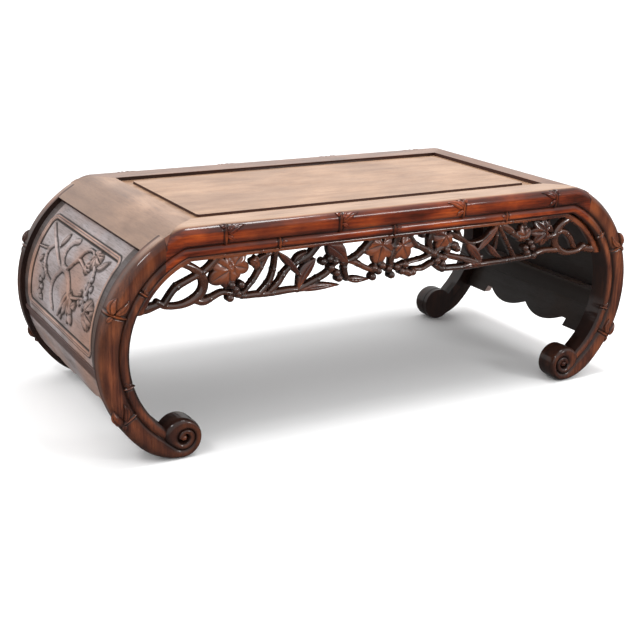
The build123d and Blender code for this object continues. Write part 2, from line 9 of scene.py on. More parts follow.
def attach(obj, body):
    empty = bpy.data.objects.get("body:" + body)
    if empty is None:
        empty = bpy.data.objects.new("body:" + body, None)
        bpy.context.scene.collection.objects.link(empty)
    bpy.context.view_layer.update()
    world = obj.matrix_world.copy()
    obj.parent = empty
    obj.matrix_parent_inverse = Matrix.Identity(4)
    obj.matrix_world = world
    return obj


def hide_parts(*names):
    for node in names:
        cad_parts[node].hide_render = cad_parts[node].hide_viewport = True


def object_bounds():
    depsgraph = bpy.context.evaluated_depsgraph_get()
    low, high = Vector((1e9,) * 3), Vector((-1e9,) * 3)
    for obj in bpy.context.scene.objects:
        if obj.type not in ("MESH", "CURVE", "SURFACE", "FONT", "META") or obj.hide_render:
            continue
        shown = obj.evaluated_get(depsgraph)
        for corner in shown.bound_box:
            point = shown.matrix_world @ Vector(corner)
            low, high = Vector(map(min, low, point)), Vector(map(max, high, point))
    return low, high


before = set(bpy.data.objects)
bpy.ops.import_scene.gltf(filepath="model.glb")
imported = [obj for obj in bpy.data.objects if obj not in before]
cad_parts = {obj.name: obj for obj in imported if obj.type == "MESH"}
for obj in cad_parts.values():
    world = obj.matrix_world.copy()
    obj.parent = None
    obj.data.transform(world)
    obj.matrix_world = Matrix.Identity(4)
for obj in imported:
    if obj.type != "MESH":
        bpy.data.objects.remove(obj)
cadLow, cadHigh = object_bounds()

# Lengths below are in millimetres; meshes are made in metres.
# X runs along the table, Y to its back.
metre = 0.001
print("frame loaded")


def addObject(name, data):
    added = bpy.data.objects.new(name, data)
    bpy.context.scene.collection.objects.link(added)
    return added


cameraSet = {
    "place": (-0.9470, -1.6450, 0.7219),
    "turn": 0.515598,  # radians to the right of straight ahead
    "tilt": 0.317139,  # downwards
    "roll": 0.023052,
    "lens": 64.81,
    "sensor": 36,
}


def makeCamera(use):
    data = bpy.data.cameras.new("camera")
    data.lens, data.sensor_width = use["lens"], use["sensor"]
    side, down, roll = use["turn"], use["tilt"], use["roll"]
    ahead = Vector((sin(side) * cos(down), cos(side) * cos(down), -sin(down)))
    level = Vector((cos(side), -sin(side), 0))
    up = level.cross(ahead)
    right = cos(roll) * level + sin(roll) * up
    top = cos(roll) * up - sin(roll) * level
    axes = Matrix((right, top, -ahead)).transposed().to_4x4()
    camera = addObject("camera", data)
    camera.matrix_world = Matrix.Translation(use["place"]) @ axes
    bpy.context.scene.camera = camera


makeCamera(cameraSet)

# the table's outline, shared by the rails, legs, aprons and end panels
outline = {
    "height": cadHigh.z * 1000,
    "halfLength": cadHigh.x * 1000,
    "crest": cadHigh.y * 1000 - 3.4,  # how far forward the bands stand
    "halfDepth": cadHigh.y * 1000 - 1.6,
    "shoulder": 50,
    "fullness": 20.5,  # the ends' radius over half the height
    "drop": 8.5,
    "foot": 90,
    "scroll": 30.5,
    "seam": 100,  # from the table's end
    "outerBand": 29.5,
    "innerBand": 14.5,
    "board": 20,
    "legBack": 177,
    "strip": 187,
    "openingX": 319,
    "openingY": 160,
    "legStraight": 46,  # degrees, where the leg's slices have turned square to the outline
}
height, halfLength, crest = outline["height"], outline["halfLength"], outline["crest"]
shoulderRadius, footRadius, scrollRadius = outline["shoulder"], outline["foot"], outline["scroll"]
outerBand, board, legBack, strip = (
    outline[key] for key in ("outerBand", "board", "legBack", "strip")
)
bandWidth = outerBand + outline["innerBand"]
bandDepths = (0, outerBand, bandWidth)
endRadius = height / 2 + outline["fullness"]
endUnit = radians(1) * endRadius  # one degree round the end
endX = halfLength - endRadius
endZ = height / 2 - outline["drop"]
shoulderZ = height - shoulderRadius
shoulderX = endX + sqrt((endRadius - shoulderRadius) ** 2 - (shoulderZ - endZ) ** 2)
shoulderAngle = degrees(atan2(shoulderZ - endZ, shoulderX - endX))
footX = endX + sqrt((endRadius - footRadius) ** 2 - (endZ - footRadius) ** 2)
footAngle = degrees(atan2(footRadius - endZ, footX - endX))
seamX = halfLength - outline["seam"]


def smooth(value):
    value = np.clip(value, 0, 1)
    return value * value * (3 - 2 * value)


def bell(distance, width):
    return np.exp(-((distance / width) ** 2))


def between(first, last, share):
    return first + (last - first) * share


def aim(angle):
    return np.array([cos(radians(angle)), sin(radians(angle))])


def turn(centre, radius, angle):
    return np.array(centre) + radius * aim(angle)


def seamAngle(radius):
    return degrees(acos((seamX - endX) / radius))


# distances along the outline: where the end's round begins, and where the rail stops
endStart = shoulderX + shoulderRadius * radians(90 - shoulderAngle)
railEnd = endStart + endRadius * radians(shoulderAngle - seamAngle(endRadius))


def railSlice(along):
    # outer edge, groove and inner edge of one slice of the rail, for a signed place along it
    side = 1 if along >= 0 else -1
    place = abs(along)
    points = []
    for depth in bandDepths:
        if place <= shoulderX:
            point = np.array([place, height - depth])
        elif place <= endStart:
            angle = 90 - degrees((place - shoulderX) / shoulderRadius)
            point = turn((shoulderX, shoulderZ), shoulderRadius - depth, angle)
        else:
            share = (place - endStart) / (railEnd - endStart)
            angle = between(shoulderAngle, seamAngle(endRadius - depth), share)
            point = turn((endX, endZ), endRadius - depth, angle)
        points.append(point * (side, 1))
    return points


def legSlice(angle):
    # the same three points on a leg, by the angle of its outer edge
    first = seamAngle(endRadius)
    straight = outline["legStraight"]
    share = max(0, (angle - straight) / (first - straight))
    points = []
    for depth in bandDepths:
        turned = angle + (seamAngle(endRadius - depth) - first) * share
        points.append(turn((endX, endZ), endRadius - depth, turned))
    return points


def spread(low, high, gap, marks, fine=0.9, reach=7):
    # places from low to high, closer together near the marks
    places = list(np.linspace(low, high, max(2, int((high - low) / gap) + 1)))
    for mark in marks:
        places += list(np.arange(mark - reach, mark + reach + fine / 2, fine))
    places = sorted(place for place in places if low <= place <= high)
    kept = [places[0]]
    for place in places[1:]:
        if place - kept[-1] > fine * 0.4:
            kept.append(place)
    kept[-1] = places[-1]
    return kept


class Parts:
    # the solids of one piece, with the tone of every point: dark (old polish and painted shade), a
    # painted sheen, and red
    def __init__(self):
        self.points, self.faces, self.tone, self.count = [], [], [], 0

    def add(self, points, faces, tone):
        self.points.append(np.asarray(points, float))
        self.faces += [tuple(int(i) + self.count for i in face) for face in faces]
        self.tone.append(np.broadcast_to(np.asarray(tone, float), (len(points), 3)))
        self.count += len(points)

    def skin(self, rows, tone):
        # closed skin through rows of points; each row is a closed loop
        rows = np.array(rows)
        count, width = rows.shape[:2]
        index = np.arange(count * width).reshape(count, width)
        after = np.roll(index, -1, axis=1)
        faces = np.stack([index[:-1], after[:-1], after[1:], index[1:]], axis=-1).reshape(-1, 4)
        ends = [tuple(index[0][::-1]), tuple(index[-1])]
        self.add(rows.reshape(-1, 3), [tuple(face) for face in faces] + ends, tone)


grainOrders = {"x": (0, 1, 2), "y": (1, 0, 2), "z": (2, 0, 1)}
weldDistance = 1e-6


def makePiece(name, parts, material, replaced, along="x", flip=(1, 1), sharp=35):
    # turns gathered solids into one object that stands for a CAD node; its grain runs along an axis
    points = np.concatenate(parts.points) * metre
    points[:, :2] *= flip
    mesh = bpy.data.meshes.new(name)
    mesh.from_pydata(points.tolist(), [], parts.faces)
    fields = {"grain": points[:, grainOrders[along]], "tone": np.concatenate(parts.tone)}
    for key, values in fields.items():
        layer = mesh.attributes.new(key, "FLOAT_VECTOR", "POINT")
        layer.data.foreach_set("vector", values.astype(np.float32).ravel())
    work = bmesh.new()
    work.from_mesh(mesh)
    bmesh.ops.remove_doubles(work, verts=work.verts, dist=weldDistance)
    bmesh.ops.dissolve_degenerate(work, edges=work.edges, dist=weldDistance)
    bmesh.ops.recalc_face_normals(work, faces=work.faces)
    work.to_mesh(mesh)
    work.free()
    mesh.polygons.foreach_set("use_smooth", [True] * len(mesh.polygons))
    mesh.set_sharp_from_angle(angle=radians(sharp))
    mesh.materials.append(material)
    piece = addObject(name, mesh)
    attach(piece, "root")
    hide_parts(*replaced)
    return piece


def addNode(tree, kind, **values):
    node = tree.nodes.new(kind)
    for key, value in values.items():
        if key.startswith("in_"):
            node.inputs[key[3:].replace("_", " ")].default_value = value
        else:
            setattr(node, key, value)
    return node


def feed(tree, socket, value):
    # a link, a number or a colour, whichever the value is
    if isinstance(value, tuple):
        socket.default_value = (*value, 1)
    elif isinstance(value, (float, int)):
        socket.default_value = value
    elif value is not None:
        tree.links.new(value, socket)


def splitVector(tree, kind, output, **values):
    split = addNode(tree, "ShaderNodeSeparateXYZ")
    tree.links.new(addNode(tree, kind, **values).outputs[output], split.inputs[0])
    return split.outputs


def mixColour(tree, share, first, second):
    node = addNode(tree, "ShaderNodeMix", data_type="RGBA")
    for key, value in (("Factor", share), ("A", first), ("B", second)):
        feed(tree, node.inputs[key], value)
    # the node has one output for each kind of value
    return [out for out in node.outputs if out.type == "RGBA"][0]


def calculate(tree, operation, first, second=None, third=None, clamp=False):
    node = addNode(tree, "ShaderNodeMath", operation=operation, use_clamp=clamp)
    for socket, value in zip(node.inputs, (first, second, third)):
        feed(tree, socket, value)
    return node.outputs[0]


def ramp(tree, source, places, colours):
    node = addNode(tree, "ShaderNodeValToRGB")
    tree.links.new(source, node.inputs[0])
    elements = node.color_ramp.elements
    while len(elements) < len(places):
        elements.new(0.5)
    for element, place, colour in zip(elements, places, colours):
        element.position = place
        element.color = (*colour, 1) if isinstance(colour, tuple) else (colour, colour, colour, 1)
    return node.outputs["Color"]


# noises of the wood: scale along and across the grain, detail, distortion, roughness
woodNoises = {
    "streak": ((9, 380, 380), 4.0, 0.0, 0.55),
    "figure": ((4, 75, 75), 3.0, 0.5, 0.55),
    "blotch": ((11, 26, 26), 3.0, 0.3, 0.55),
    "cloud": ((7, 9, 9), 2.0, 0.0, 0.55),
    "pores": ((70, 1300, 1300), 2.0, 0.0, 0.6),
}


def makeWood(name, use, along=None):
    # polished hardwood; the grain runs along a mesh's "grain", or along one axis of a CAD node
    material = bpy.data.materials.new(name)
    material.use_nodes = True
    tree = material.node_tree
    if along is None:
        start = addNode(tree, "ShaderNodeAttribute", attribute_name="grain").outputs["Vector"]
    else:
        place = splitVector(tree, "ShaderNodeTexCoord", "Object")
        join = addNode(tree, "ShaderNodeCombineXYZ")
        for target, source in enumerate(grainOrders[along]):
            tree.links.new(place[source], join.inputs[target])
        start = join.outputs[0]

    def noise(key):
        scale, detail, distortion, roughness = woodNoises[key]
        mapping = addNode(tree, "ShaderNodeMapping", in_Scale=scale)
        tree.links.new(start, mapping.inputs["Vector"])
        made = addNode(tree, "ShaderNodeTexNoise", in_Scale=1.0, in_Detail=detail)
        made.inputs["Roughness"].default_value = roughness
        made.inputs["Distortion"].default_value = distortion
        tree.links.new(mapping.outputs[0], made.inputs["Vector"])
        return made.outputs["Fac"]

    def lay(colour, second, share, amount=1):
        return mixColour(tree, calculate(tree, "MULTIPLY", share, amount), colour, second)

    streak, figure, blotch, pores = (noise(key) for key in ("streak", "figure", "blotch", "pores"))
    streaks = calculate(tree, "MULTIPLY", streak, use["streaks"])
    mixed = calculate(tree, "MULTIPLY_ADD", blotch, 1 - use["streaks"] - use["figure"], streaks)
    mixed = calculate(tree, "MULTIPLY_ADD", figure, use["figure"], mixed)
    colour = ramp(tree, mixed, use["stops"], use["colours"])
    cloud = ramp(tree, noise("cloud"), (0.44, 0.62), (0, 1))
    colour = lay(colour, use["cloudColour"], cloud, use["cloud"])
    colour = lay(colour, use["deep"], ramp(tree, pores, (0.36, 0.46), (1, 0)), use["pores"])
    if along is None:
        # tone: darkness from old polish and painted shade, a painted sheen on what faces up, and
        # redness
        tones = splitVector(tree, "ShaderNodeAttribute", "Vector", attribute_name="tone")
        polishAndShade, sheen, red = tones
        colour = lay(colour, ramp(tree, blotch, (0.38, 0.60), use["red"]), red)
        colour = lay(colour, ramp(tree, mixed, use["stops"], use["sheen"]), sheen)
    else:
        # painted shade: faces turned away from overhead, or turned towards the middle of the table,
        # are darkened
        facing = splitVector(tree, "ShaderNodeNewGeometry", "True Normal")
        if use["darkSide"] == "edges":
            level = facing[2]
            steep = ramp(tree, level, (0.68, 1.0), (1, 0))
            colour = lay(colour, use["cloudColour"], steep, use["edges"])
            if "sideColour" in use:
                # a board's corner is polished like the band it runs into
                aside = calculate(tree, "ABSOLUTE", facing[1])
                colour = lay(colour, use["sideColour"], ramp(tree, aside, (0.2, 0.5), (0, 1)))
        else:
            outward = calculate(tree, "MULTIPLY", facing[0], place[0])
            level = calculate(tree, "MULTIPLY_ADD", outward, 20, 0.5)
            # painted shadow: a dark band across the lower rail where the recess under the panel
            # lies in shade
            low, high = use["shadowBand"]
            lift = calculate(tree, "MULTIPLY_ADD", place[2], 1 / (high - low), -low / (high - low))
            shade = ramp(tree, lift, (0.0, 0.12, 0.85, 1.0), (0, 1, 1, 0))
            colour = lay(colour, use["shadowColour"], shade, use["polishAndShade"])
        # painted shade in the deep colour on faces that are steep or turned inwards
        polishAndShade = ramp(tree, level, (0.25, 0.5), (1, 0))
    low, high = use["roughness"]
    rough = calculate(tree, "MULTIPLY_ADD", streak, high - low, low)
    dull = calculate(tree, "MULTIPLY", polishAndShade, use["dull"])
    relief = calculate(tree, "ADD", calculate(tree, "MULTIPLY", pores, 0.5), streak)
    bump = addNode(tree, "ShaderNodeBump", in_Strength=use["bump"], in_Distance=use["depth"])
    tree.links.new(relief, bump.inputs["Height"])
    for key, value in (
        ("Base Color", lay(colour, use["deep"], polishAndShade, use["polishAndShadeAmount"])),
        ("Roughness", calculate(tree, "ADD", rough, dull, clamp=True)),
        ("Normal", bump.outputs[0]),
        ("Coat Weight", use["coat"]),
        ("Coat Roughness", use["coatRoughness"]),
        ("Specular IOR Level", use["specular"]),
    ):
        feed(tree, tree.nodes["Principled BSDF"].inputs[key], value)
    return material


# painted sheen: pale tan standing in for bright light on the polished wood; it colours the top and
# what faces up on the bands
paleWood = ((0.235, 0.125, 0.070), (0.31, 0.178, 0.105), (0.365, 0.217, 0.133), (0.42, 0.26, 0.163))
bandWood = {
    "stops": (0.37, 0.46, 0.54, 0.65),
    "colours": (
        (0.034, 0.006, 0.002), (0.110, 0.014, 0.003),
        (0.23, 0.034, 0.005), (0.40, 0.075, 0.009),
    ),
    "sheen": paleWood,
    "streaks": 0.25,  # how much of the colour follows the fine streaks
    "figure": 0.25,  # and the wide figure
    "cloud": 0.5,
    "cloudColour": (0.060, 0.012, 0.006),
    "pores": 0.4,
    "deep": (0.009, 0.004, 0.003),
    # old polish and painted shade: how much of the deep colour fills the hollows
    "polishAndShadeAmount": 0.93,  # how much of the deep colour fills the hollows
    "dull": 0.25,  # how much rougher they are
    # painted shade on the steep faces of the kept pieces
    "edges": 0.9,
    "red": ((0.055, 0.012, 0.005), (0.25, 0.060, 0.015)),
    "roughness": (0.20, 0.40),
    "coat": 0.5,
    "coatRoughness": 0.06,
    "specular": 0.1,
    "bump": 0.2,
    "depth": 0.0003,
    "darkSide": "edges",
}
legWood = {
    **bandWood,
    "coat": 0.55,
    # painted sheen: grey-brown, a bright sky's sheen on the legs' outer sides
    "sheen": (
        (0.19, 0.115, 0.078), (0.26, 0.165, 0.118),
        (0.31, 0.205, 0.152), (0.37, 0.25, 0.195),
    ),
    "colours": (
        (0.022, 0.008, 0.006), (0.070, 0.020, 0.011),
        (0.14, 0.040, 0.017), (0.26, 0.075, 0.027),
    ),
    "cloud": 0.65,
    "cloudColour": (0.032, 0.011, 0.008),
}
topWood = {
    **bandWood,
    "colours": paleWood,
    "cloud": 0.3,
    "cloudColour": (0.16, 0.10, 0.072),
    "pores": 0.35,
    "deep": (0.040, 0.010, 0.006),
    "roughness": (0.28, 0.46),
    "coat": 0.22,
    "coatRoughness": 0.2,
    "specular": 0.25,
    "bump": 0.3,
}
# the boards' pale tan is also a painted sheen
boardWood = {
    **topWood,
    "colours": (
        (0.13, 0.068, 0.042), (0.235, 0.135, 0.085),
        (0.32, 0.192, 0.124), (0.40, 0.25, 0.165),
    ),
    "cloud": 0.45,
    "sideColour": (0.10, 0.028, 0.012),
}
# painted shade: a darker copy of the board wood, for the right end board and the rear rail's upward
# faces
shadedBoardWood = {
    **boardWood,
    "colours": (
        (0.10, 0.045, 0.026), (0.15, 0.070, 0.040),
        (0.20, 0.098, 0.058), (0.26, 0.135, 0.082),
    ),
}
# grey-brown with a little blue: the wood's own tone with a painted sheen of bright sky
panelWood = {
    **bandWood,
    "colours": (
        (0.17, 0.128, 0.120), (0.25, 0.205, 0.198),
        (0.32, 0.275, 0.275), (0.38, 0.335, 0.34),
    ),
    "cloud": 0.8,
    "cloudColour": (0.33, 0.19, 0.14),
    "shadowBand": (0.117, 0.146),
    "shadowColour": (0.055, 0.022, 0.016),
    "polishAndShade": 0.85,
    "pores": 0.5,
    "deep": (0.010, 0.006, 0.004),
    "red": ((0.26, 0.125, 0.080), (0.50, 0.27, 0.175)),
    "roughness": (0.32, 0.50),
    "coat": 0.15,
    "coatRoughness": 0.2,
    "specular": 0.2,
    "darkSide": "inside",
}
# near black: painted shade for the battens under the top
innerWood = {
    **bandWood,
    "colours": (
        (0.008, 0.005, 0.004), (0.016, 0.010, 0.008),
        (0.028, 0.018, 0.013), (0.045, 0.028, 0.020),
    ),
    "cloudColour": (0.012, 0.008, 0.006),
    "roughness": (0.5, 0.75),
    "coat": 0.0,
    "coatRoughness": 0.5,
}
apronWood = {
    **bandWood,
    "colours": (
        (0.013, 0.006, 0.004), (0.026, 0.010, 0.006),
        (0.045, 0.016, 0.009), (0.078, 0.028, 0.014),
    ),
    "cloud": 0.2,
    "red": ((0.060, 0.013, 0.006), (0.205, 0.052, 0.017)),
    "cloudColour": (0.024, 0.009, 0.006),
    "roughness": (0.12, 0.26),
    "coat": 0.9,
    "specular": 0.3,
}
bandMaterial = makeWood("band_wood", bandWood)
# painted shade: the rear rail's upward faces take the darker shaded colours
rearMaterial = makeWood("rear_wood", {**bandWood, "sheen": shadedBoardWood["colours"]})
panelMaterial = makeWood("panel_wood", panelWood)
apronMaterial = makeWood("apron_wood", apronWood)
legMaterial = makeWood("leg_wood", legWood)
fieldMaterial = makeWood("field_wood", topWood, "x")
boardMaterial = makeWood("board_wood", boardWood, "y")
shadedBoardMaterial = makeWood("shaded_board_wood", shadedBoardWood, "y")
innerMaterial = makeWood("inner_wood", innerWood, "y")
lowerMaterial = makeWood("lower_wood", panelWood, "y")
print("wood made")

bands = {
    "edgeDrop": 12,
    "edgeReach": 11,
    "crown": 1.6,
    "grooveDepth": 4.8,
    "innerCrown": 3.6,
    "innerSide": 208.5,
    "ringRise": 2.6,
    "ringWidth": 1.5,
    "cutDepth": 0.9,  # of the cut on each side of a ring
    "cutPlace": 3.4,
    "cutWidth": 1.1,
    "outerRings": (-0.84, -0.3, 0.345, 0.885),  # shares of the straight of the rail
    "innerRings": (-0.59, -0.02, 0.6),
    "legOuterRings": (22, -29.8),  # degrees round the end
    "legInnerRings": (36.5, -15),
}
railRings = [share * shoulderX for share in bands["outerRings"]]
railInnerRings = [share * shoulderX for share in bands["innerRings"]]
legRings = [-angle * endUnit for angle in bands["legOuterRings"]]
legInnerRings = [-angle * endUnit for angle in bands["legInnerRings"]]


def outerProfile(drop, groove=bands["grooveDepth"], crown=bands["crown"]):
    # shares of the width, and depth, of the front of the outer band
    rounded = np.linspace(0, pi / 2, 9)
    reach = bands["edgeReach"] / outerBand
    share = list(reach * (1 - np.cos(rounded)))
    depth = list(crest - drop + drop * np.sin(rounded))
    for step in (0.1, 0.25, 0.42, 0.58, 0.7, 0.79, 0.86, 0.91, 0.955, 0.985, 1.0):
        share.append(reach + (1 - reach) * step)
        depth.append(crest - crown * step**2 - (groove - crown) * smooth((step - 0.76) / 0.26))
    return np.array(share), np.array(depth)


def innerProfile():
    share = np.linspace(0, 1, 13)
    line = between(crest - bands["grooveDepth"], bands["innerSide"], share)
    return share, line + bands["innerCrown"] * np.sin(pi * share) ** 0.7


def normals(share, depth, width):
    # unit normals of a front profile, as (along the slice, forwards)
    along = np.gradient(share * width)
    out = np.gradient(depth)
    length = np.hypot(along, out)
    return -out / length, along / length


def ringLift(distance):
    # a raised joint with a cut on each side of it
    rise = bands["ringRise"] * bell(distance, bands["ringWidth"])
    return rise - bands["cutDepth"] * bell(abs(distance) - bands["cutPlace"], bands["cutWidth"])


# tone of the bands, by place: old polish with painted shade, a painted sheen on what faces up, and
# redness
bandTones = {
    "groove": 0.9,
    "edge": 0.5,
    "beyond": 1.5,  # the edge beside the groove
    "cut": 0.75,
    "cutPlace": 3.2,
    "cutWide": 1.4,
    "joint": 0.25,
    "jointWide": 13,
    # on a joint's ridge the darkness is lessened and red is added: wear with a painted highlight
    "crest": 0.3,  # taken away where hands have rubbed a joint
    "crestRed": 0.6,
    "crestWide": 1.7,
    "darkest": 0.97,
    "paleDepth": 5.5,
    # painted shade of the recess beside the end panel
    "beside": 1.7,  # beside the end panel
}


def bandSolid(parts, slices, rings, front, back, sheens, warm=None, recess=None):
    # slices: outer point, inner point, distance along; sheens: how pale the outer side of each is,
    # a painted sheen
    rows, tone, use = [], [], bandTones
    for number, (first, second, along) in enumerate(slices):
        across = second - first
        width = np.hypot(*across)
        across = across / width
        share, depth, weight = front(number)
        into, forward = normals(share, depth, width)
        lift = sum(ringLift(along - ring) for ring in rings) * weight
        backIn, backOut = back(number, width)
        inward = np.concatenate([share * width + into * lift, backIn])
        out = np.concatenate([depth + forward * lift, backOut])
        z = np.minimum(first[1] + across[1] * inward, height)
        rows.append(np.stack([first[0] + across[0] * inward, -out, z], axis=1))
        seen = out[: len(share)]
        # painted shade in the groove, and in the cuts beside each joint
        groove = np.clip((crest - bands["crown"] - seen) / 4, 0, 1) * smooth((share - 0.5) / 0.4)
        away = [along - ring for ring in rings]
        cuts = sum(bell(abs(each) - use["cutPlace"], use["cutWide"]) for each in away)
        joint = sum(bell(each, use["jointWide"]) for each in away)
        wearAndHighlight = sum(bell(each, use["crestWide"]) for each in away)
        # painted sheen: what faces upwards is paler, as if lit from above; the edges are darker,
        # with old polish and painted shade
        pale = smooth((crest - use["paleDepth"] - seen) / 4) * (share < 0.3) * sheens[number]
        edge = smooth((0.5 - share) / 0.4) * (1 - pale)
        edge = edge + use["beyond"] * smooth((share - 0.6) / 0.4)
        if recess is not None:
            # painted shade: beside the end panel the leg is darkened, as the recess lies in shade
            beside = smooth((recess - seen) / 6) * (share < 0.01)
            pale = pale * (1 - beside)
            edge = np.maximum(edge, use["beside"] * beside)
        warmth = 0 if warm is None else warm[number]
        nearJoint = (use["cut"] * cuts + use["joint"] * joint) * weight
        dark = groove * use["groove"] + use["edge"] * edge + nearJoint - min(0, warmth)
        dark = np.clip(dark - use["crest"] * wearAndHighlight, 0, use["darkest"])
        red = use["crestRed"] * wearAndHighlight * weight + max(0, warmth)
        # painted shade: the back and inner walls are dark all over
        shades = np.tile((1.0, 0, 0), (len(out), 1))
        shades[: len(share)] = np.stack([dark, pale, red], axis=1)
        tone.append(shades)
    parts.skin(rows, np.concatenate(tone))


def innerBand(parts, slices, rings, sinks=None, warm=None):
    share, depth = innerProfile()
    side = bands["innerSide"]

    def front(number):
        low = 0 if sinks is None else sinks[number]
        deep = np.concatenate([depth - low, [side - 1.2, side - 6]])
        weight = np.concatenate([np.ones_like(share), [0.7, 0]])
        return np.concatenate([share, [1.0, 1.0]]), deep, weight

    def back(number, width):
        return np.array([width, -1.0, -1.0]), np.array([legBack, legBack, crest - 8])

    bandSolid(parts, slices, rings, front, back, np.zeros(len(slices)), warm)


def sheenOf(first, second):
    # painted sheen: the more the outer edge of a slice faces upwards, the paler it is
    line = first - second
    return 0.16 + 0.84 * float(smooth((line[1] / np.hypot(*line) - 0.5) / 0.5))


def mitreLine(x):
    # how far forward the frame's mitre is at a place along the table
    slope = (outline["halfDepth"] - outline["openingY"]) / (seamX - outline["openingX"])
    edge = outline["halfDepth"] - bands["edgeDrop"] - 0.5
    return min(edge, outline["openingY"] + max(0, x - outline["openingX"]) * slope)


def makeRail():
    parts = Parts()
    places = spread(-railEnd, railEnd, 9, railRings + railInnerRings + [-endStart, endStart])
    # more slices where the shoulder turns and where the end's round begins
    extra = [endStart + step for step in (4, 8, 12)]
    extra += [shoulderX + step for step in np.arange(0, 21, 2.5)] + [outline["openingX"]]
    places += [side * place for side in (-1, 1) for place in extra]
    outer, inner, sheens = [], [], []
    for place in sorted(set(round(place, 3) for place in places)):
        edge, groove, inside = railSlice(place)
        outer.append((edge, groove, place))
        inner.append((groove, inside, place))
        end = smooth((abs(place) - endStart + 24) / (railEnd - endStart + 14))
        sheens.append(sheenOf(edge, groove) * (1 - 0.2 * end))
    share, depth = outerProfile(bands["edgeDrop"])

    def front(number):
        behind = mitreLine(abs(outer[number][0][0]))
        flat = np.array([behind, (behind + depth[0]) / 2, depth[0] - 1.5])
        weight = np.concatenate([np.zeros(3), smooth((depth - 203) / 4)])
        return np.concatenate([np.zeros(3), share]), np.concatenate([flat, depth]), weight

    def back(number, width):
        behind = mitreLine(abs(outer[number][0][0]))
        under = board * width / outerBand
        return np.array([width, under, under, 0.8]), np.array([legBack, legBack, behind, behind])

    bandSolid(parts, outer, railRings, front, back, sheens)
    innerBand(parts, inner, railInnerRings)
    return parts


# the scroll at the foot of each leg
volute = {
    "shift": 1.4,
    "lift": 1.0,
    "radii": (17.5, 13, 8.5, 5),
    "innerDrop": 3.4,
    "discDrop": 10,
    "warmth": -0.38,  # how much darker the scroll is
    "groove": 4.2,
    "crown": 2.8,
    "steps": 12,  # slices where the foot turns under
    "innerStop": 0.76,  # share of them that the inner band runs on
    "innerEnd": (20, 12),  # where its inside would end, from the scroll's centre
    "innerSink": 2.5,
    "finer": -420,  # degrees; after them the slices are wider apart
    "lastAngle": -712,
    "closing": -330,  # degrees, where the carved line starts to close the first turn
    # the boss at its middle: radius, and how far behind the crest
    "eye": ((0.3, 0.6), (2.0, 1.0), (3.6, 2.2), (4.8, 4.4), (5.2, crest - 178)),
}


def circleFrom(offset, radius, angle):
    # distance from the spiral's centre to a circle whose own centre is offset along X
    lean = cos(radians(angle)) * offset
    return lean + sqrt(max(0, lean**2 - offset**2 + radius**2))


def scrollLine(angle):
    # radius of the carved spiral about its centre, for a turning angle that only falls
    first, second, third, last = volute["radii"]
    if angle >= -180:
        return first
    if angle >= -360:
        return circleFrom(second - first, second, angle)
    return third if angle >= -540 else circleFrom(last - third, last, angle)


def reachTo(point, direction, centre, radius):
    # distance from a point to a circle, in one direction
    away = point - centre
    return -away @ direction + sqrt((away @ direction) ** 2 - away @ away + radius**2)


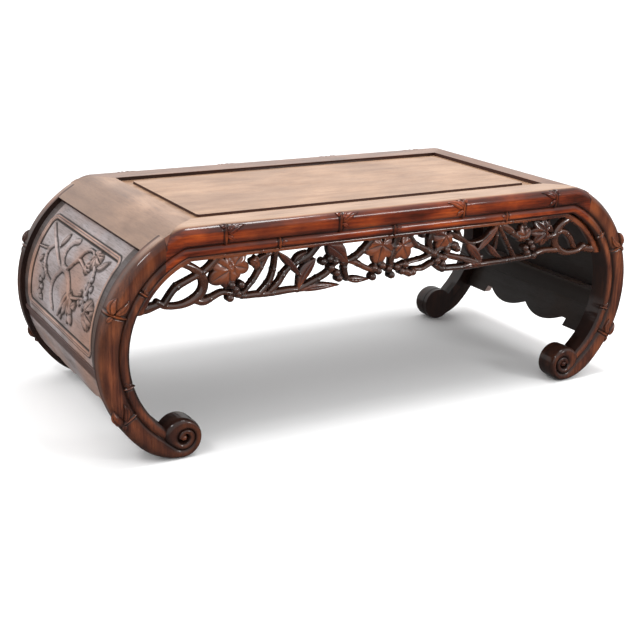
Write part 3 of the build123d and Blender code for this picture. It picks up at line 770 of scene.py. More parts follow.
def makeLeg():
    parts = Parts()
    top, bottom = -seamAngle(endRadius) * endUnit, -footAngle * endUnit
    places = spread(top, bottom, 5, legRings + legInnerRings)
    outer, inner = [], []
    for place in places:
        edge, groove, inside = legSlice(-place / endUnit)
        outer.append((edge, groove, place))
        inner.append((groove, inside, place))
    straight = len(outer)
    drops, sinks = [bands["edgeDrop"]] * straight, [0] * straight
    # the foot turns under, and the groove runs straight to the scroll
    centre = np.array([footX - volute["shift"], scrollRadius + volute["lift"]])
    foot, disc = np.array([footX, footRadius]), np.array([footX, scrollRadius])
    start = turn((endX, endZ), endRadius - outerBand, footAngle)
    meet = turn(centre, volute["radii"][0], footAngle)
    last = centre + aim(footAngle) * reachTo(centre, aim(footAngle), foot, footRadius)
    lastAngle = degrees(atan2(last[1] - foot[1], last[0] - foot[0]))
    insideStart, insideEnd = legSlice(footAngle)[2], centre + volute["innerEnd"]
    for step in range(1, volute["steps"] + 1):
        share = step / volute["steps"]
        edge = turn(foot, footRadius, between(footAngle, lastAngle, share))
        groove = between(start, meet, share)
        place += np.hypot(*(edge - outer[-1][0]))
        outer.append((edge, groove, place))
        drops.append(between(bands["edgeDrop"], volute["discDrop"], share))
        if share <= volute["innerStop"]:
            inner.append((groove, between(insideStart, insideEnd, share), place))
            sinks.append(volute["innerSink"] * smooth(share * 1.3))
    # the scroll itself
    angle = footAngle
    closing = volute["closing"]
    while angle > volute["lastAngle"]:
        angle -= 5 if angle > volute["finer"] else 8
        direction = aim(angle)
        if angle > -90:
            reach = reachTo(centre, direction, foot, footRadius)
        elif angle > footAngle - 360:
            # from the closing angle on, the carved line comes in
            reach = reachTo(centre, direction, disc, scrollRadius)
            share = smooth((closing - angle) / (closing + 360 - footAngle))
            reach = between(reach, volute["radii"][0], share)
        else:
            reach = scrollLine(angle + 360)
        edge = centre + direction * reach
        place += max(1.2, np.hypot(*(edge - outer[-1][0])))
        outer.append((edge, centre + direction * scrollLine(angle), place))
        drops.append(between(volute["discDrop"], volute["innerDrop"], smooth((-315 - angle) / 60)))

    def front(number):
        carved = (volute["groove"], volute["crown"]) if number > straight + 4 else ()
        share, depth = outerProfile(round(drops[number], 2), *carved)
        side = np.array([strip, strip + 4, strip + 9, depth[0] - 1.5])
        weight = np.concatenate([[0, 0.2, 0.6, 1], np.ones_like(share)])
        return np.concatenate([np.zeros(4), share]), np.concatenate([side, depth]), weight

    def back(number, width):
        under = board * width / outerBand
        return np.array([width, under, under, 1.2]), np.array([legBack, legBack, strip, strip])

    # a painted sheen that weakens down the leg; red like the rail where they meet, dark on the
    # scroll
    pale, warm = [], []
    for number, (edge, groove, place) in enumerate(outer):
        way = place - places[0]
        onLeg = number < straight
        pale.append(sheenOf(edge, groove) * (1 - 0.5 * smooth(way / 60)) if onLeg else 0.0)
        darker = volute["warmth"] * smooth((number - straight) / 14)
        warm.append(0.7 * (1 - smooth(way / 95)) if onLeg else darker)
    bandSolid(parts, outer, legRings, front, back, pale, warm, strip + 8)
    innerBand(parts, inner, legInnerRings, sinks, warm)
    addEye(parts, centre)
    addCheek(parts, centre, inner[-14:])
    return parts


def addCheek(parts, centre, tail):
    # the scroll's plain inner side, and the web that joins it to the leg
    disc = [turn((footX, scrollRadius), scrollRadius - 0.6, 7.5 * step) for step in range(48)]
    web = [groove for groove, inside, along in tail] + [centre, centre + np.array([-22.0, 8.0])]
    web += [inside for groove, inside, along in tail[::-1]]
    for loop, rear, front in ((disc, legBack - 0.4, crest - 24), (web, legBack - 0.3, crest - 22)):
        parts.skin([[(x, -depth, z) for x, z in loop] for depth in (rear, front)], (0.85, 0, 0))


def addEye(parts, centre):
    # the small boss at the middle of the scroll, and the disc behind it
    middle = centre - np.array([1.0, 0])
    rings = []
    for radius, drop in volute["eye"]:
        spots = [turn(middle, radius, 20 * step) for step in range(18)]
        rings.append([(x, drop - crest, z) for x, z in spots])
    parts.skin(rings, 0)


# leaves beside each joint, where the bamboo branches: root and tip as (along, across),
# half width, rise, fullness, bend, depth of the vein, redness
leaves = {
    "rail": (
        ((2, 20), (31, 9), 5.6, 3.6, 0.62, -2.0, 0.9, 0.3),
        ((1.5, 23), (14, 31), 3.6, 3.2, 0.7, 0, 0.6, 0.15),
        ((1.5, 17), (13, 6), 3.8, 3.4, 0.6, 0, 0.6, 0.1),
        ((-1.5, 12), (-9, 6), 3.0, 2.4, 0.6, 0, 0.5, 0.1),
    ),
    "leg": (
        ((1.5, 12), (27, 11), 7.5, 7.0, 0.62, -3.0, 1.6, 0.25),
        ((2, 18), (31, 27), 5.5, 5.0, 0.6, 4.0, 1.2, 0.15),
        ((2, 6), (22, 3), 4.2, 3.0, 0.7, 0, 1.0, 0.05),
        ((-2, 14), (-13, 8), 4.0, 3.0, 0.6, 0, 0.6, 0.1),
    ),
    "inner": (
        ((1.5, 8), (13, 4), 2.4, 1.9, 0.6, 0, 0.4, 0.2),
        ((1.5, 8.5), (9, 13), 2.0, 1.7, 0.6, 0, 0.4, 0.1),
    ),
    "sink": 1.5,  # into the band
}


def bandPlace(slices, isInner, across):
    # point and outward normal on a band, at a distance over its front
    share, depth = innerProfile() if isInner else outerProfile(bands["edgeDrop"])
    edge, groove = slices[1:] if isInner else slices[:2]
    line = groove - edge
    width = np.hypot(*line)
    line = line / width
    profile = (share * width, depth, *normals(share, depth, width))
    reach = np.concatenate([[0], np.cumsum(np.hypot(np.diff(profile[0]), np.diff(depth)))])
    inward, out, into, forward = (np.interp(across, reach, each) for each in profile)
    point = np.array([edge[0] + line[0] * inward, -out, edge[1] + line[1] * inward])
    return point, np.array([line[0] * into, -forward, line[1] * into])


def leafShape(share, fullness):
    # half width of a pointed leaf, from its root to its tip
    return np.sin(pi * np.clip(share, 0, 1) ** fullness)


def addLeaf(parts, sliceAt, isInner, root, tip, half, rise, fullness, bend, vein, tone):
    axis = tip - root
    length = np.hypot(*axis)
    axis = axis / length
    side = np.array([-axis[1], axis[0]])
    rows, shades = [], []
    lines = np.linspace(-1, 1, 11)
    for share in np.linspace(0.015, 0.985, 17):
        width = max(0.15, half * leafShape(share, fullness))
        middle = root + axis * length * share + side * bend * sin(pi * share)
        top, under = [], []
        for line in lines:
            spot = middle + side * width * line
            point, normal = bandPlace(sliceAt(spot[0]), isInner, max(0.2, spot[1]))
            dome = (1 - line**2) ** 0.5 * leafShape(share, 0.8) ** 0.4
            raised = point + normal * (rise * dome - vein * bell(line * width, 0.8) * dome)
            x = np.clip(raised[0], -halfLength, halfLength)
            top.append((x, max(raised[1], -crest - 3.3), min(raised[2], height)))
            under.append(point - normal * leaves["sink"])
        rows.append(top + under[::-1])
        # painted shade along the vein and round the rim
        dark = [min(1, 0.8 * bell(line * width, 0.7) + 1.2 * abs(line) ** 4) for line in lines]
        shades += [(each, 0.0, tone) for each in dark + dark[::-1]]
    parts.skin(rows, shades)


def legAt(along):
    return legSlice(-along / endUnit)


def dress(parts, rings, sides, sliceAt, kind):
    for ring, side in zip(rings, sides):
        for root, tip, half, rise, fullness, bend, *rest in leaves[kind]:
            ends = [np.array((ring + side * along, across)) for along, across in (root, tip)]
            form = (half, rise, fullness, bend * side, *rest)
            addLeaf(parts, sliceAt, kind == "inner", *ends, *form)


rail = makeRail()
dress(rail, railRings, (1, 1, -1, -1), railSlice, "rail")
dress(rail, railInnerRings, (1, 1, -1), railSlice, "inner")
makePiece("front_rail", rail, bandMaterial, ("front_top_rail",))
makePiece("rear_rail", rail, rearMaterial, ("rear_top_rail",), "x", (1, -1))
leg = makeLeg()
dress(leg, legRings, (-1, -1), legAt, "leg")
dress(leg, legInnerRings, (-1, -1), legAt, "inner")
for name, flip in (
    ("front_left", (-1, 1)),
    ("front_right", (1, 1)),
    ("rear_left", (-1, -1)),
    ("rear_right", (1, -1)),
):
    makePiece(name + "_scroll", leg, legMaterial, (name + "_leg",), "z", flip)
print("rails and legs made")


def smoothLine(points):
    # a smooth line through points of (x, z, radius)
    points = np.array(points, float)
    padded = np.concatenate([[2 * points[0] - points[1]], points, [2 * points[-1] - points[-2]]])
    line = []
    for number in range(len(points) - 1):
        before, start, end, after = padded[number : number + 4]
        for share in np.linspace(0, 1, 9)[:-1]:
            spot = 2 * start + (end - before) * share
            spot = spot + (2 * before - 5 * start + 4 * end - after) * share**2
            line.append(0.5 * (spot + (3 * start - before - 3 * end + after) * share**3))
    return np.array(line + [points[-1]])


class Relief:
    # a carved field on a grid: how far inside the wood each point is, its height and its tone
    def __init__(self, low, high, step):
        self.x = np.arange(low[0], high[0] + step / 2, step)
        self.z = np.arange(low[1], high[1] + step / 2, step)
        self.wideX, self.wideZ = np.meshgrid(self.x, self.z)
        self.step = step
        self.inside = np.full(self.wideX.shape, -9.0)
        self.height, self.leaf, self.dark = (np.zeros(self.wideX.shape) for each in range(3))

    def near(self, points, margin):
        low = np.min(points, axis=0)[:2] - margin
        high = np.max(points, axis=0)[:2] + margin
        columns = slice(*np.searchsorted(self.x, (low[0], high[0])))
        rows = slice(*np.searchsorted(self.z, (low[1], high[1])))
        return (rows, columns), self.wideX[rows, columns], self.wideZ[rows, columns]

    def along(self, root, tip, margin):
        # window round a straight line, with the share of its length and the distance beside it
        root, tip = np.array(root, float), np.array(tip, float)
        window, x, z = self.near([root, tip], margin)
        length = np.hypot(*(tip - root))
        axis = (tip - root) / length
        share = ((x - root[0]) * axis[0] + (z - root[1]) * axis[1]) / length
        return window, length, share, -(x - root[0]) * axis[1] + (z - root[1]) * axis[0]

    def put(self, window, inside, tall, leaf, dark):
        shown = (tall > self.height[window]) & (inside > -1.6 * self.step)
        self.inside[window] = np.maximum(self.inside[window], inside)
        for field, value in ((self.height, tall), (self.leaf, leaf), (self.dark, dark)):
            field[window] = np.where(shown, value, field[window])

    def stem(self, points, level, crown, joints, leaf, swell=1.0):
        line = smoothLine(points)
        window, x, z = self.near(line, line[:, 2].max() + 3)
        best, share, along = np.full(x.shape, -99.0), np.ones(x.shape), np.zeros(x.shape)
        length = 0
        for start, end in zip(line[:-1], line[1:]):
            run = end[:2] - start[:2]
            size = max(1e-6, np.hypot(*run))
            step = np.clip(((x - start[0]) * run[0] + (z - start[1]) * run[1]) / size**2, 0, 1)
            radius = between(start[2], end[2], step)
            away = np.hypot(x - start[0] - run[0] * step, z - start[1] - run[1] * step)
            better = radius - away > best
            best = np.where(better, radius - away, best)
            share = np.where(better, away / radius, share)
            along = np.where(better, length + step * size, along)
            length += size
        tall = level + crown * np.sqrt(np.clip(1 - share**2, 0, 1))
        # painted shade in the cuts beside each joint
        dark = np.zeros(x.shape)
        for joint in joints:
            gap = along - joint * length
            bulge = swell * bell(gap, 1.8)
            best = best + bulge
            tall = tall + 0.9 * bulge
            dark = np.maximum(dark, bell(abs(gap) - 3, 1.2))
        self.put(window, best, tall, leaf, dark * 0.8)

    def blade(self, root, tip, half, level, crown, bend, leaf, fold=0.8):
        window, length, along, across = self.along(root, tip, half + abs(bend) + 3)
        across = across - bend * np.sin(pi * np.clip(along, 0, 1))
        width = half * leafShape(along, 0.8)
        beyond = np.maximum(-along, along - 1) * length
        inside = np.where(beyond > 0, -np.hypot(beyond, across), (width - abs(across)) * 0.9)
        share = np.clip(across / np.maximum(width, 0.5), -1, 1)
        vein = bell(across, 0.8)
        tall = level + crown * (1 - share**2) ** 0.6 + fold * share - 1.1 * vein
        # painted shade along the vein and the rim, and on one side of the leaf
        dark = vein * 0.8 + abs(share) ** 5 * 0.8 + 0.4 * (share < 0) * abs(share)
        self.put(window, inside, tall, leaf, np.clip(dark, 0, 1))

    def lobed(self, centre, radius, angle, level, crown, lobes, leaf, cut=0.20):
        # a vine leaf: its veins and pointed lobes fan out from where its stalk joins
        window, x, z = self.near([centre], radius * 1.4 + 3)
        base = centre - aim(angle) * radius * 0.62
        out = np.hypot(x - base[0], z - base[1])
        around = np.arctan2(z - base[1], x - base[0]) - radians(angle)
        around = (around + pi) % (2 * pi) - pi
        gap = radians(196 / lobes)
        tip = abs(((around / gap + 0.5) % 1) - 0.5) * 2  # 0 on a vein, 1 between two
        edge = np.maximum(radius * 1.6 * np.cos(around / 2) ** 0.6 * (1 - cut * tip**1.5), 1.5)
        share = np.clip(out / edge, 0, 1)
        tall = level + crown * (1 - share**2) ** 0.5 - 1.3 * np.cos(tip * pi) * smooth(share * 2)
        # painted shade round the rim and along the veins
        dark = share**5 * 0.9
        for number in range(lobes):
            ray = around - gap * (number - (lobes - 1) / 2)
            vein = bell(out * np.sin(ray), 0.8) * (np.cos(ray) > 0) * smooth(out / 3)
            tall = tall - 0.8 * vein
            dark = np.maximum(dark, vein)
        self.put(window, (edge - out) * 0.85, tall, leaf, dark)

    def grape(self, centre, radius, level, rise, leaf):
        window, x, z = self.near([centre], radius + 3)
        out = np.hypot(x - centre[0], z - centre[1])
        share = np.clip(out / radius, 0, 1)
        # painted shade round the rim
        self.put(window, radius - out, level + rise * np.sqrt(1 - share**2), leaf, share**6)

    def slot(self, root, tip, half, depth):
        # a deep cut in what is already carved, darkened as painted shade
        window, length, along, across = self.along(root, tip, half + 3)
        width = np.maximum(half * leafShape(along, 1.0), 0.01)
        weight = smooth(1.6 - abs(across) / width) * (along > 0) * (along < 1)
        self.height[window] -= depth * weight
        self.dark[window] = np.maximum(self.dark[window], 1.6 * weight)

    def crevices(self, reach, depth):
        # how much lower each point lies than its surroundings, for painted shade in the crevices
        weight = (self.inside > -self.step).astype(float)
        shown = self.height * weight
        for axis in (0, 1):
            for array in (shown, weight):
                array[:] = sum(np.roll(array, shift, axis) for shift in range(-reach, reach + 1))
        return np.clip((shown / np.maximum(weight, 1) - self.height) / depth, 0, 1)


def pierced(parts, relief, back):
    # closed solid of a pierced field, its outline cut where the field crosses zero
    inside, tall = relief.inside, relief.height
    rows, columns = inside.shape
    # painted shade in the crevices and carved marks
    shade = np.clip(relief.crevices(5, 5.0) + relief.dark * 0.7, 0, 1)
    points, tones, found = [], [], {}

    def keep(key, x, z, level, dark, at):
        if key not in found:
            found[key] = len(points)
            points.append((x, back - level, z))
            tones.append((dark, 0.0, relief.leaf[at]))
        return found[key]

    def corner(at):
        return keep(at, relief.x[at[1]], relief.z[at[0]], tall[at], shade[at], at)

    def crossing(first, second):
        share = inside[first] / (inside[first] - inside[second])
        low = first if inside[first] > 0 else second
        x = between(relief.x[first[1]], relief.x[second[1]], share)
        z = between(relief.z[first[0]], relief.z[second[0]], share)
        level = between(tall[first], tall[second], share)
        ends = (min(first, second), max(first, second))
        # the cut edges are painted in shade
        return keep(ends, x, z, level, max(0.55, shade[low]), low)

    fronts, walls = [], []
    solid = inside > 0
    some = solid[:-1, :-1] | solid[1:, :-1] | solid[:-1, 1:] | solid[1:, 1:]
    for row, column in zip(*np.nonzero(some)):
        ring = ((row, column), (row, column + 1), (row + 1, column + 1), (row + 1, column))
        loop, ends = [], []
        for each, after in zip(ring, ring[1:] + ring[:1]):
            if solid[each]:
                loop.append(corner(each))
            if solid[each] != solid[after]:
                loop.append(crossing(each, after))
                ends.append((loop[-1], solid[each]))
        fronts.append(loop)
        # the cut edge runs from where the solid ends to where it begins again
        for number, (spot, leaving) in enumerate(ends):
            if leaving:
                walls.append((spot, ends[(number + 1) % len(ends)][0]))
    # walls where the wood reaches the border of the grid: upright ones, then level ones
    borders = [
        ((row, column), (row + 1, column), column == 0)
        for row in range(rows - 1)
        for column in (0, columns - 1)
    ]
    borders += [
        ((row, column), (row, column + 1), row > 0)
        for row in (0, rows - 1)
        for column in range(columns - 1)
    ]
    for start, end, turned in borders:
        if solid[start] and solid[end]:
            pair = (corner(start), corner(end))
            walls.append(pair[::-1] if turned else pair)
    front, tones = np.array(points), np.array(tones)
    rear = front.copy()
    rear[:, 1] = back
    count = len(front)
    faces = [tuple(loop) for loop in fronts]
    faces += [tuple(index + count for index in loop[::-1]) for loop in fronts]
    faces += [(first, first + count, second + count, second) for first, second in walls]
    parts.add(np.concatenate([front, rear]), faces, np.concatenate([tones, tones * (1.0, 0, 0.2)]))


# pierced aprons: bamboo, leaves and grapes
apron = {
    "back": -190,
    "thick": 14,
    "bottom": 224,
    "reach": 148.5,  # beyond the centre of each end
    "strip": 7.5,  # height of the plain strip under the rail
    "lip": 10,  # width of the plain strip round the ends
    "step": 0.9,
    "stripJoints": (-230, 227),
    # each form: how far behind the front it starts, its rise, and how much of its redness shows
    "stemForm": (8.5, 6.5, 0.45),
    "bladeForm": (5.5, 4.2, 0.8),
    "lobedForm": (6.5, 5.4, 0.95),
    "grapeForm": (4.5, 7.0, 0.12),
    "lobeCut": 0.3,
    # each stem: points (x, z, radius), then where its joints are, then how red it is
    "stems": (
        (((-422, 230, 7), (-406, 230, 7), (-388, 234, 5.5)), (), 0.3),
        (((422, 230, 7), (406, 230, 7), (388, 234, 5.5)), (), 0.3),
        (((-388, 238, 5), (-376, 231, 5), (-356, 229, 5), (-338, 233, 6), (-322, 243, 7),
          (-317, 257, 7), (-322, 271, 6.5), (-334, 282, 6), (-350, 290, 5)), (), 0.25),
        (((-378, 234, 5), (-366, 250, 5), (-358, 257, 5.5), (-345, 263, 5), (-328, 270, 5),
          (-312, 278, 5.5), (-297, 292, 5)), (0.30, 0.72), 0.1),
        (((-332, 234, 5), (-318, 230, 6), (-304, 235, 5), (-290, 240, 4.5), (-276, 238, 4),
          (-258, 231, 4.5), (-236, 230, 5), (-210, 229, 5), (-180, 230, 5), (-160, 229, 4)),
          (0.14, 0.45, 0.72), 0.25),
        (((-216, 292, 4.5), (-228, 270, 4.5), (-240, 252, 4), (-257, 235, 4)), (0.35, 0.68), 0.3),
        (((-203, 292, 4), (-206, 268, 4), (-213, 248, 4.5), (-228, 232, 4.5)), (0.4, 0.75), 0.1),
        (((-135, 292, 6), (-150, 278, 6), (-176, 268, 4.5), (-190, 256, 5), (-198, 244, 5),
          (-212, 233, 4.5)), (0.42, 0.70), 0.1),
        (((-166, 229, 5), (-142, 238, 5), (-118, 248, 5), (-104, 262, 4)), (0.5,), 0.1),
        (((-84, 266, 4.5), (-86, 252, 5), (-82, 236, 4.5)), (0.4,), 0.0),
        (((-90, 262, 4), (-72, 266, 5), (-58, 274, 5), (-36, 294, 5.5)), (0.35, 0.6), 0.05),
        (((-80, 264, 4), (-64, 258, 4.5), (-50, 250, 4.5), (-34, 243, 4)), (0.4,), 0.6),
        (((8, 294, 6.5), (4, 276, 6), (-1, 262, 5.5), (-4, 244, 4)), (0.35,), 0.05),
        (((27, 294, 5.5), (42, 277, 5), (58, 268, 5), (82, 255, 5)), (0.4, 0.75), 0.15),
        (((14, 247, 3.5), (36, 250, 3.5), (58, 253, 3.5), (84, 262, 4)), (0.5,), 0.1),
        (((37, 237, 4), (56, 236, 4), (74, 243, 4)), (0.5,), 0.3),
        (((72, 294, 6), (68, 280, 5), (71, 264, 4.5), (80, 254, 4)), (), 0.0),
        (((80, 262, 4), (100, 268, 4.5), (121, 268, 4)), (0.6,), 0.1),
        (((98, 254, 5), (120, 247, 5), (146, 240, 5), (166, 233, 4)), (), 0.35),
        (((82, 238, 4), (92, 232, 4.5), (112, 230, 5), (150, 229, 5), (180, 230, 5), (214, 230, 5),
          (240, 231, 5), (268, 232, 5), (300, 238, 5), (330, 236, 5)), (0.22, 0.58, 0.80), 0.35),
        (((120, 292, 4), (130, 276, 4), (146, 268, 3.5), (168, 270, 3), (184, 280, 3)), (), 0.1),
        (((196, 294, 4), (199, 275, 3.5), (197, 255, 3.5)), (0.5,), 0.3),
        (((203, 290, 3.5), (216, 270, 3.5), (226, 254, 3.5), (239, 235, 4)), (0.38, 0.7), 0.3),
        (((206, 292, 5), (222, 282, 5), (240, 270, 4.5), (256, 262, 4)), (0.5,), 0.1),
        (((254, 294, 5), (256, 282, 5), (254, 266, 5)), (0.4,), 0.2),
        (((300, 262, 4), (316, 262, 5), (338, 268, 5), (354, 258, 5), (366, 240, 4.5)),
          (0.35, 0.65), 0.3),
        (((388, 238, 5), (376, 231, 5), (356, 229, 5), (340, 233, 6), (328, 243, 6.5),
          (323, 257, 7), (328, 272, 6.5), (340, 283, 6), (356, 289, 5)), (), 0.2),
    ),
    # each blade: root, tip, half width, bend, redness
    "blades": (
        ((-246, 284), (-229, 272), 7, 1, 0.7),
        ((-236, 290), (-236, 268), 6, 0, 0.6),
        ((-240, 276), (-206, 291), 5, 2, 0.15),
        ((-200, 291), (-160, 246), 5.5, 1.5, 1.0),
        ((-138, 275), (-168, 229), 9.5, -4, 1.0),
        ((-166, 228), (-93, 228), 6.0, 1.5, 1.0),
        ((-118, 293), (-82, 260), 14, 3, 1.0),
        ((-176, 272), (-150, 288), 5, 1, 0.2),
        ((-84, 236), (-42, 231), 5.5, -1, 0.4),
        ((50, 292), (58, 286), 4, 0, 0.1),
        ((104, 292), (146, 268), 4.5, -2, 0.3),
        ((139, 268), (172, 231), 8, 1.5, 0.9),
        ((199, 292), (158, 251), 7.5, 1.5, 1.0),
        ((164, 234), (118, 250), 5, 1.5, 0.2),
        ((180, 263), (212, 235), 5.5, -2.5, 0.7),
        ((206, 291), (240, 272), 6, 1.5, 0.3),
        ((128, 228), (174, 231), 5.5, 1.0, 1.0),
        ((172, 246), (158, 232), 5, 1.0, 0.3),
        ((298, 284), (316, 268), 6, 1.5, 0.3),
    ),
    # each lobed leaf: centre, radius, direction, lobes, redness
    "lobed": (
        ((-291, 267), 21, -150, 3, 0.75),
        ((-262, 276), 17, -20, 3, 0.8),
        ((-25, 271), 21, -100, 3, 1.0),
        ((20, 270), 18, -60, 3, 1.0),
        ((91, 276), 17, -120, 3, 1.0),
        ((254, 276), 13, 100, 3, 0.6),
        ((288, 272), 19, 180, 5, 0.6),
    ),
    "grapes": (
        (-275, 250), (-260, 249), (-265, 236), (-278, 231), (-269, 243), (-125, 268), (-114, 271),
        (-111, 257), (-101, 248), (-97, 239), (-104, 266), (-20, 250), (-27, 242), (-37, 234),
        (-8, 243), (-3, 233), (7, 244), (22, 247), (24, 235), (-34, 247), (16, 237), (75, 259),
        (113, 268), (120, 262), (95, 250), (87, 252), (93, 240), (93, 232), (30, 232), (37, 233),
        (82, 246), (101, 262), (259, 248), (273, 248), (277, 233), (263, 240), (268, 256),
    ),
    "grapeSize": 6.0,
}


def makeApron(use):
    parts = Parts()
    ceiling = height - bandWidth
    low, high = (-endX - use["reach"], use["bottom"]), (endX + use["reach"], ceiling + 2)
    field = Relief(low, high, use["step"])
    thick, lip, plain = use["thick"], use["lip"], use["strip"]
    behind, rise, glow = use["stemForm"]
    for points, joints, red in use["stems"]:
        field.stem(points, thick - behind, rise, joints, red * glow)
    behind, rise, glow = use["bladeForm"]
    for root, tip, half, bend, red in use["blades"]:
        field.blade(root, tip, half, thick - behind, rise, bend, red * glow)
    behind, rise, glow = use["lobedForm"]
    for centre, radius, angle, lobes, red in use["lobed"]:
        field.lobed(centre, radius, angle, thick - behind, rise, lobes, red * glow, use["lobeCut"])
    behind, rise, glow = use["grapeForm"]
    for centre in use["grapes"]:
        field.grape(centre, use["grapeSize"], thick - behind, rise, glow)
    # the plain strip under the rail and round both ends
    x, z = abs(field.wideX), field.wideZ
    out = np.hypot(x - endX, z - endZ)
    innerRadius = endRadius - bandWidth
    inside = np.maximum(np.where(x > endX, out - (innerRadius - lip), -99.0), z - (ceiling - plain))
    share = inside / np.where(x > endX, lip, plain)
    level = thick - 4.5 + 3.5 * np.sqrt(np.clip(1 - (2 * np.clip(share, 0, 1) - 0.9) ** 2, 0, 1))
    joint = sum(bell(field.wideX - place, 2.2) for place in use["stripJoints"])
    # painted shade where the strip meets the bands, and dark joints
    dark = np.clip(0.8 * joint + smooth((share - 0.78) / 0.2), 0, 1)
    field.put((slice(None), slice(None)), inside, level + 1.2 * joint, 0.7, dark)
    # nothing of it is wider than the inside of the bands
    field.inside = np.minimum(field.inside, np.where(x > endX, innerRadius + 1.5 - out, 9.0))
    pierced(parts, field, use["back"])
    return parts


carving = makeApron(apron)
for name, flip in (("front", (1, 1)), ("rear", (1, -1))):
    replaced = (name + "_apron",)
    makePiece(name + "_carving", carving, apronMaterial, replaced, "x", flip, 55)
print("aprons carved")

# end panels: prunus and grapes in low relief
panel = {
    "radius": 184.5,
    "inner": 172.5,
    "half": 187,
    "low": -7.5,  # degrees
    "high": 51.3,
    "beadHalf": 154,
    "beadShift": 6,
    "beadLow": -2.8,
    "beadHigh": 43.6,
    "beadCorner": 13,
    "beadWide": 1.15,
    "beadRise": 1.9,
    "beads": (-1.9, 1.9),  # from the middle of the frame's line
    "grooves": (-5.0, 5.0),
    "grooveWide": 1.3,
    "grooveDeep": 0.7,
    "sunk": 2.2,
    "step": 1.25,
    "narrow": 0.85,  # of the stems' radii
    # each form: how high above the ground it starts, its rise and its redness
    "stemForm": (0, 4.0, 0.15),
    "bladeForm": (0.8, 3.2, 0.2),
    "lobedForm": (1.2, 2.8, 0.35),
    "grapeForm": (0.2, 3.8, 0),
    "budForm": (0.5, 4.2, 0.1),
    "jointSwell": 0.7,
    "bladeFold": 0.3,
    "slotDepth": 3,
    # stems in (y, distance round the curve, radius)
    "stems": (
        (((143, 130, 0.8), (118, 116, 2), (92, 103, 3.4), (66, 90, 3), (40, 79, 3), (20, 78, 5)),
          ()),
        (((153, 86, 1), (130, 88, 1.6), (112, 91, 2), (95, 101, 2.5)), ()),
        (((94, 101, 3), (106, 92, 2.8), (109, 80, 2.8), (103, 67, 2.5), (91, 58, 2.2), (80, 52, 2),
          (58, 47, 1.4)), (0.7,)),
        (((17, 127, 5.5), (31, 122, 5.5), (39, 112, 5), (40, 99, 4), (33, 87, 3.5), (22, 79, 5)),
          ()),
        (((22, 80, 6), (34, 70, 5), (45, 59, 4.8), (51, 44, 4.8), (49, 29, 4.8), (38, 11, 4)), ()),
        (((22, 80, 6), (5, 77, 6.5), (-13, 67, 7), (-26, 55, 7), (-36, 46, 6)), ()),
        (((8, 80, 3), (-3, 90, 3), (-12, 99, 3), (-23, 105, 3), (-40, 102, 2), (-56, 99, 2),
          (-72, 101, 2)), ()),
        (((-14, 102, 2.5), (-20, 110, 3), (-25, 119, 3), (-36, 126, 3), (-51, 127, 2.5),
          (-66, 122, 2)), ()),
        (((-85, 110, 2), (-95, 97, 2), (-97, 80, 2), (-98, 64, 2), (-98, 46, 1.8)), ()),
        (((-46, 50, 3), (-60, 53, 2.5), (-74, 57, 2), (-88, 60, 2)), ()),
    ),
    "blades": (
        ((-38, 57), (12, 7), 12, -3),
        ((-42, 55), (-36, 8), 13, -3),
        ((-50, 38), (-69, 48), 6, 1),
        ((134, 66), (118, 76), 4, 0),
        ((116, 62), (92, 63), 4, 0),
        ((-94, 110), (-119, 128), 5, 1),
        ((-80, 66), (-68, 62), 4, 0),
        ((60, 128), (70, 104), 6, 1),
        ((-100, 56), (-118, 54), 4, 0),
    ),
    "lobed": (
        ((-74, 117), 14, -80, 5),
        ((-64, 103), 9, -150, 3),
        ((-124, 43), 18, 198, 5),
    ),
    "grapes": (
        (-97, 92), (-87, 80), (-107, 80), (-95, 70), (-101, 64), (-88, 55), (-98, 52), (-78, 52),
        (-98, 41), (97, 47), (115, 37), (97, 30), (114, 22), (107, 12), (104, 40), (108, 29),
        (104, 20), (97, 13),
    ),
    "buds": ((-50, 18), (0, 13)),
    # dark cuts: root, tip, half width
    "slots": (
        ((-18, 29), (8, 6), 3.2),
        ((-45, 27), (-30, 11), 3.0),
        ((-32, 49), (-20, 36), 2.0),
        ((-40, 46), (-34, 32), 1.8),
        ((-118, 50), (-134, 49), 1.6),
        ((-116, 36), (-132, 30), 1.8),
    ),
    "grapeSize": 4.4,
    "budSize": 4.4 * 1.8,
}


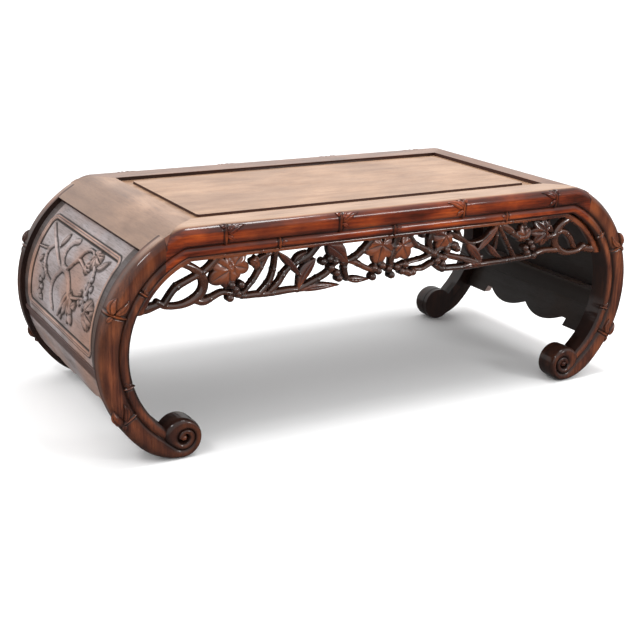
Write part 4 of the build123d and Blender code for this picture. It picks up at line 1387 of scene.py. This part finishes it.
def makePanel(use):
    parts = Parts()
    unit = radians(1) * use["radius"]
    low, high = (-use["half"], use["low"] * unit), (use["half"], use["high"] * unit)
    field = Relief(low, high, use["step"])
    middle = (use["beadLow"] + use["beadHigh"]) / 2 * unit
    halfHigh = (use["beadHigh"] - use["beadLow"]) / 2 * unit
    corner = use["beadCorner"]
    beyondX = abs(field.wideX - use["beadShift"]) - use["beadHalf"]
    beyondZ = abs(field.wideZ - middle) - halfHigh
    rounded = np.hypot(beyondX + corner, beyondZ + corner) - corner
    atCorner = (beyondX + corner > 0) & (beyondZ + corner > 0)
    away = np.where(atCorner, rounded, np.maximum(beyondX, beyondZ))
    ground = -use["sunk"]
    field.height[:] = ground * smooth(-away / 3)
    field.inside[:] = 9
    above, rise, red = use["stemForm"]
    for points, joints in use["stems"]:
        thin = points * np.array([1, 1, use["narrow"]])
        field.stem(thin, ground + above, rise, joints, red, use["jointSwell"])
    above, rise, red = use["bladeForm"]
    for root, tip, half, bend in use["blades"]:
        field.blade(root, tip, half, ground + above, rise, bend, red, use["bladeFold"])
    above, rise, red = use["lobedForm"]
    for centre, radius, angle, lobes in use["lobed"]:
        field.lobed(centre, radius, angle, ground + above, rise, lobes, red)
    for kind in ("grape", "bud"):
        above, rise, red = use[kind + "Form"]
        for centre in use[kind + "s"]:
            field.grape(centre, use[kind + "Size"], ground + above, rise, red)
    for root, tip, half in use["slots"]:
        field.slot(root, tip, half, use["slotDepth"])
    bead = sum(bell(away - at, use["beadWide"]) for at in use["beads"])
    groove = sum(bell(away - at, use["grooveWide"]) for at in use["grooves"])
    field.height += use["beadRise"] * bead - use["grooveDeep"] * groove
    # painted shade: crevices, the groove beside the bead, the carved dark marks and the recess
    # beside each leg
    beside = smooth((beyondX - 3.5) / 2.5)
    dark = 1.6 * field.crevices(2, 0.8) + 0.8 * groove + 0.8 * field.dark + 0.8 * beside
    shade, red = np.clip(dark, 0, 1), np.clip(field.leaf + 0.75 * bead, 0, 1)
    rows, tone = [], []
    backs = np.linspace(use["half"], -use["half"], 9)
    hidden = np.zeros(len(backs))
    for row, place in enumerate(field.z):
        out = np.concatenate([use["radius"] + field.height[row], hidden + use["inner"]])
        across = np.concatenate([field.x, backs])
        side, up = aim(place / unit)
        rows.append(np.stack([endX + out * side, across, endZ + out * up], axis=1))
        darkRow = np.concatenate([shade[row], hidden + 1])
        redRow = np.concatenate([red[row], hidden])
        tone.append(np.stack([darkRow, 0 * across, redRow], axis=1))
    parts.skin(rows, np.concatenate(tone))
    return parts


endPanel = makePanel(panel)
for name, flip in (("left", (-1, 1)), ("right", (1, 1))):
    replaced = (name + "_end_panel",)
    makePiece(name + "_relief", endPanel, panelMaterial, replaced, "y", flip, 50)
print("end panels carved")

# pieces kept from the CAD: better wood, and edges eased by hand
kept = (
    (fieldMaterial, ("top_panel",)),
    (boardMaterial, ("left_end_board",)),
    (shadedBoardMaterial, ("right_end_board",)),
    (innerMaterial, ("left_panel_batten", "centre_panel_batten", "right_panel_batten")),
    (lowerMaterial, ("left_lower_rail", "right_lower_rail", "left_end_apron", "right_end_apron")),
)
easedEdge = {"width": 0.0008, "segments": 2, "angle": 40, "weld": 0.00001}


def easeEdges(piece, use):
    weld = piece.modifiers.new("weld", "WELD")
    weld.merge_threshold = use["weld"]
    bevel = piece.modifiers.new("edges", "BEVEL")
    bevel.width = use["width"]
    bevel.segments = use["segments"]
    bevel.limit_method = "ANGLE"
    bevel.angle_limit = radians(use["angle"])
    bevel.use_clamp_overlap = True
    piece.modifiers.new("shading", "WEIGHTED_NORMAL").keep_sharp = True


for material, names in kept:
    for name in names:
        piece = bpy.data.objects[name]
        piece.material_slots[0].material = material
        easeEdges(piece, easedEdge)
print("kept pieces finished")

studio = {
    "floor": (0.96, 0.96, 0.96),
    "floorReach": 12,  # metres
    "floorRoughness": 0.9,
    "backdrop": 1.1,
    # brightness of the light round the table, by how high it comes from
    "around": ((0.0, 0.12), (0.46, 0.14), (0.52, 0.75), (0.62, 0.92), (1.0, 1.3)),
    # each light: name, place, aimed at, size, power
    "lights": (
        ("overhead", (0.5, -0.1, 2.3), (0.1, 0, 0.25), 0.8, 36),
        ("front", (1.3, -2.1, 1.05), (0, -0.2, 0.2), 0.6, 16),
        ("left", (-1.6, -0.55, 1.95), (-0.4, 0, 0.2), 0.45, 11),
    ),
}


def makeLight(name, place, target, size, power):
    data = bpy.data.lights.new(name, "AREA")
    data.shape = "DISK"
    data.size = size
    data.energy = power
    light = addObject(name, data)
    light.location = place
    light.rotation_euler = (Vector(target) - Vector(place)).to_track_quat("-Z", "Y").to_euler()


def makeWorld(use):
    world = bpy.data.worlds.new("studio")
    bpy.context.scene.world = world
    world.use_nodes = True
    tree = world.node_tree
    level = splitVector(tree, "ShaderNodeTexCoord", "Generated")[2]
    level = calculate(tree, "MULTIPLY_ADD", level, 0.5, 0.5)
    places, glows = zip(*use["around"])
    # a ramp holds no more than 1, so it is halved there and doubled after it
    glow = calculate(tree, "MULTIPLY", ramp(tree, level, places, [each / 2 for each in glows]), 2.0)
    seen = addNode(tree, "ShaderNodeLightPath").outputs["Is Camera Ray"]
    colour = mixColour(tree, seen, glow, (use["backdrop"],) * 3)
    tree.links.new(colour, tree.nodes["Background"].inputs["Color"])


def makeFloor(use):
    reach = use["floorReach"]
    mesh = bpy.data.meshes.new("floor")
    corners = [(-reach, -reach, 0), (reach, -reach, 0), (reach, reach, 0), (-reach, reach, 0)]
    mesh.from_pydata(corners, [], [(0, 1, 2, 3)])
    material = bpy.data.materials.new("floor")
    material.use_nodes = True
    shader = material.node_tree.nodes["Principled BSDF"]
    shader.inputs["Base Color"].default_value = (*use["floor"], 1)
    shader.inputs["Roughness"].default_value = use["floorRoughness"]
    mesh.materials.append(material)
    floor = addObject("floor", mesh)
    floor.visible_glossy = False


makeWorld(studio)
makeFloor(studio)
for light in studio["lights"]:
    makeLight(*light)
bpy.context.scene.view_settings.view_transform = "Standard"
print("studio made")
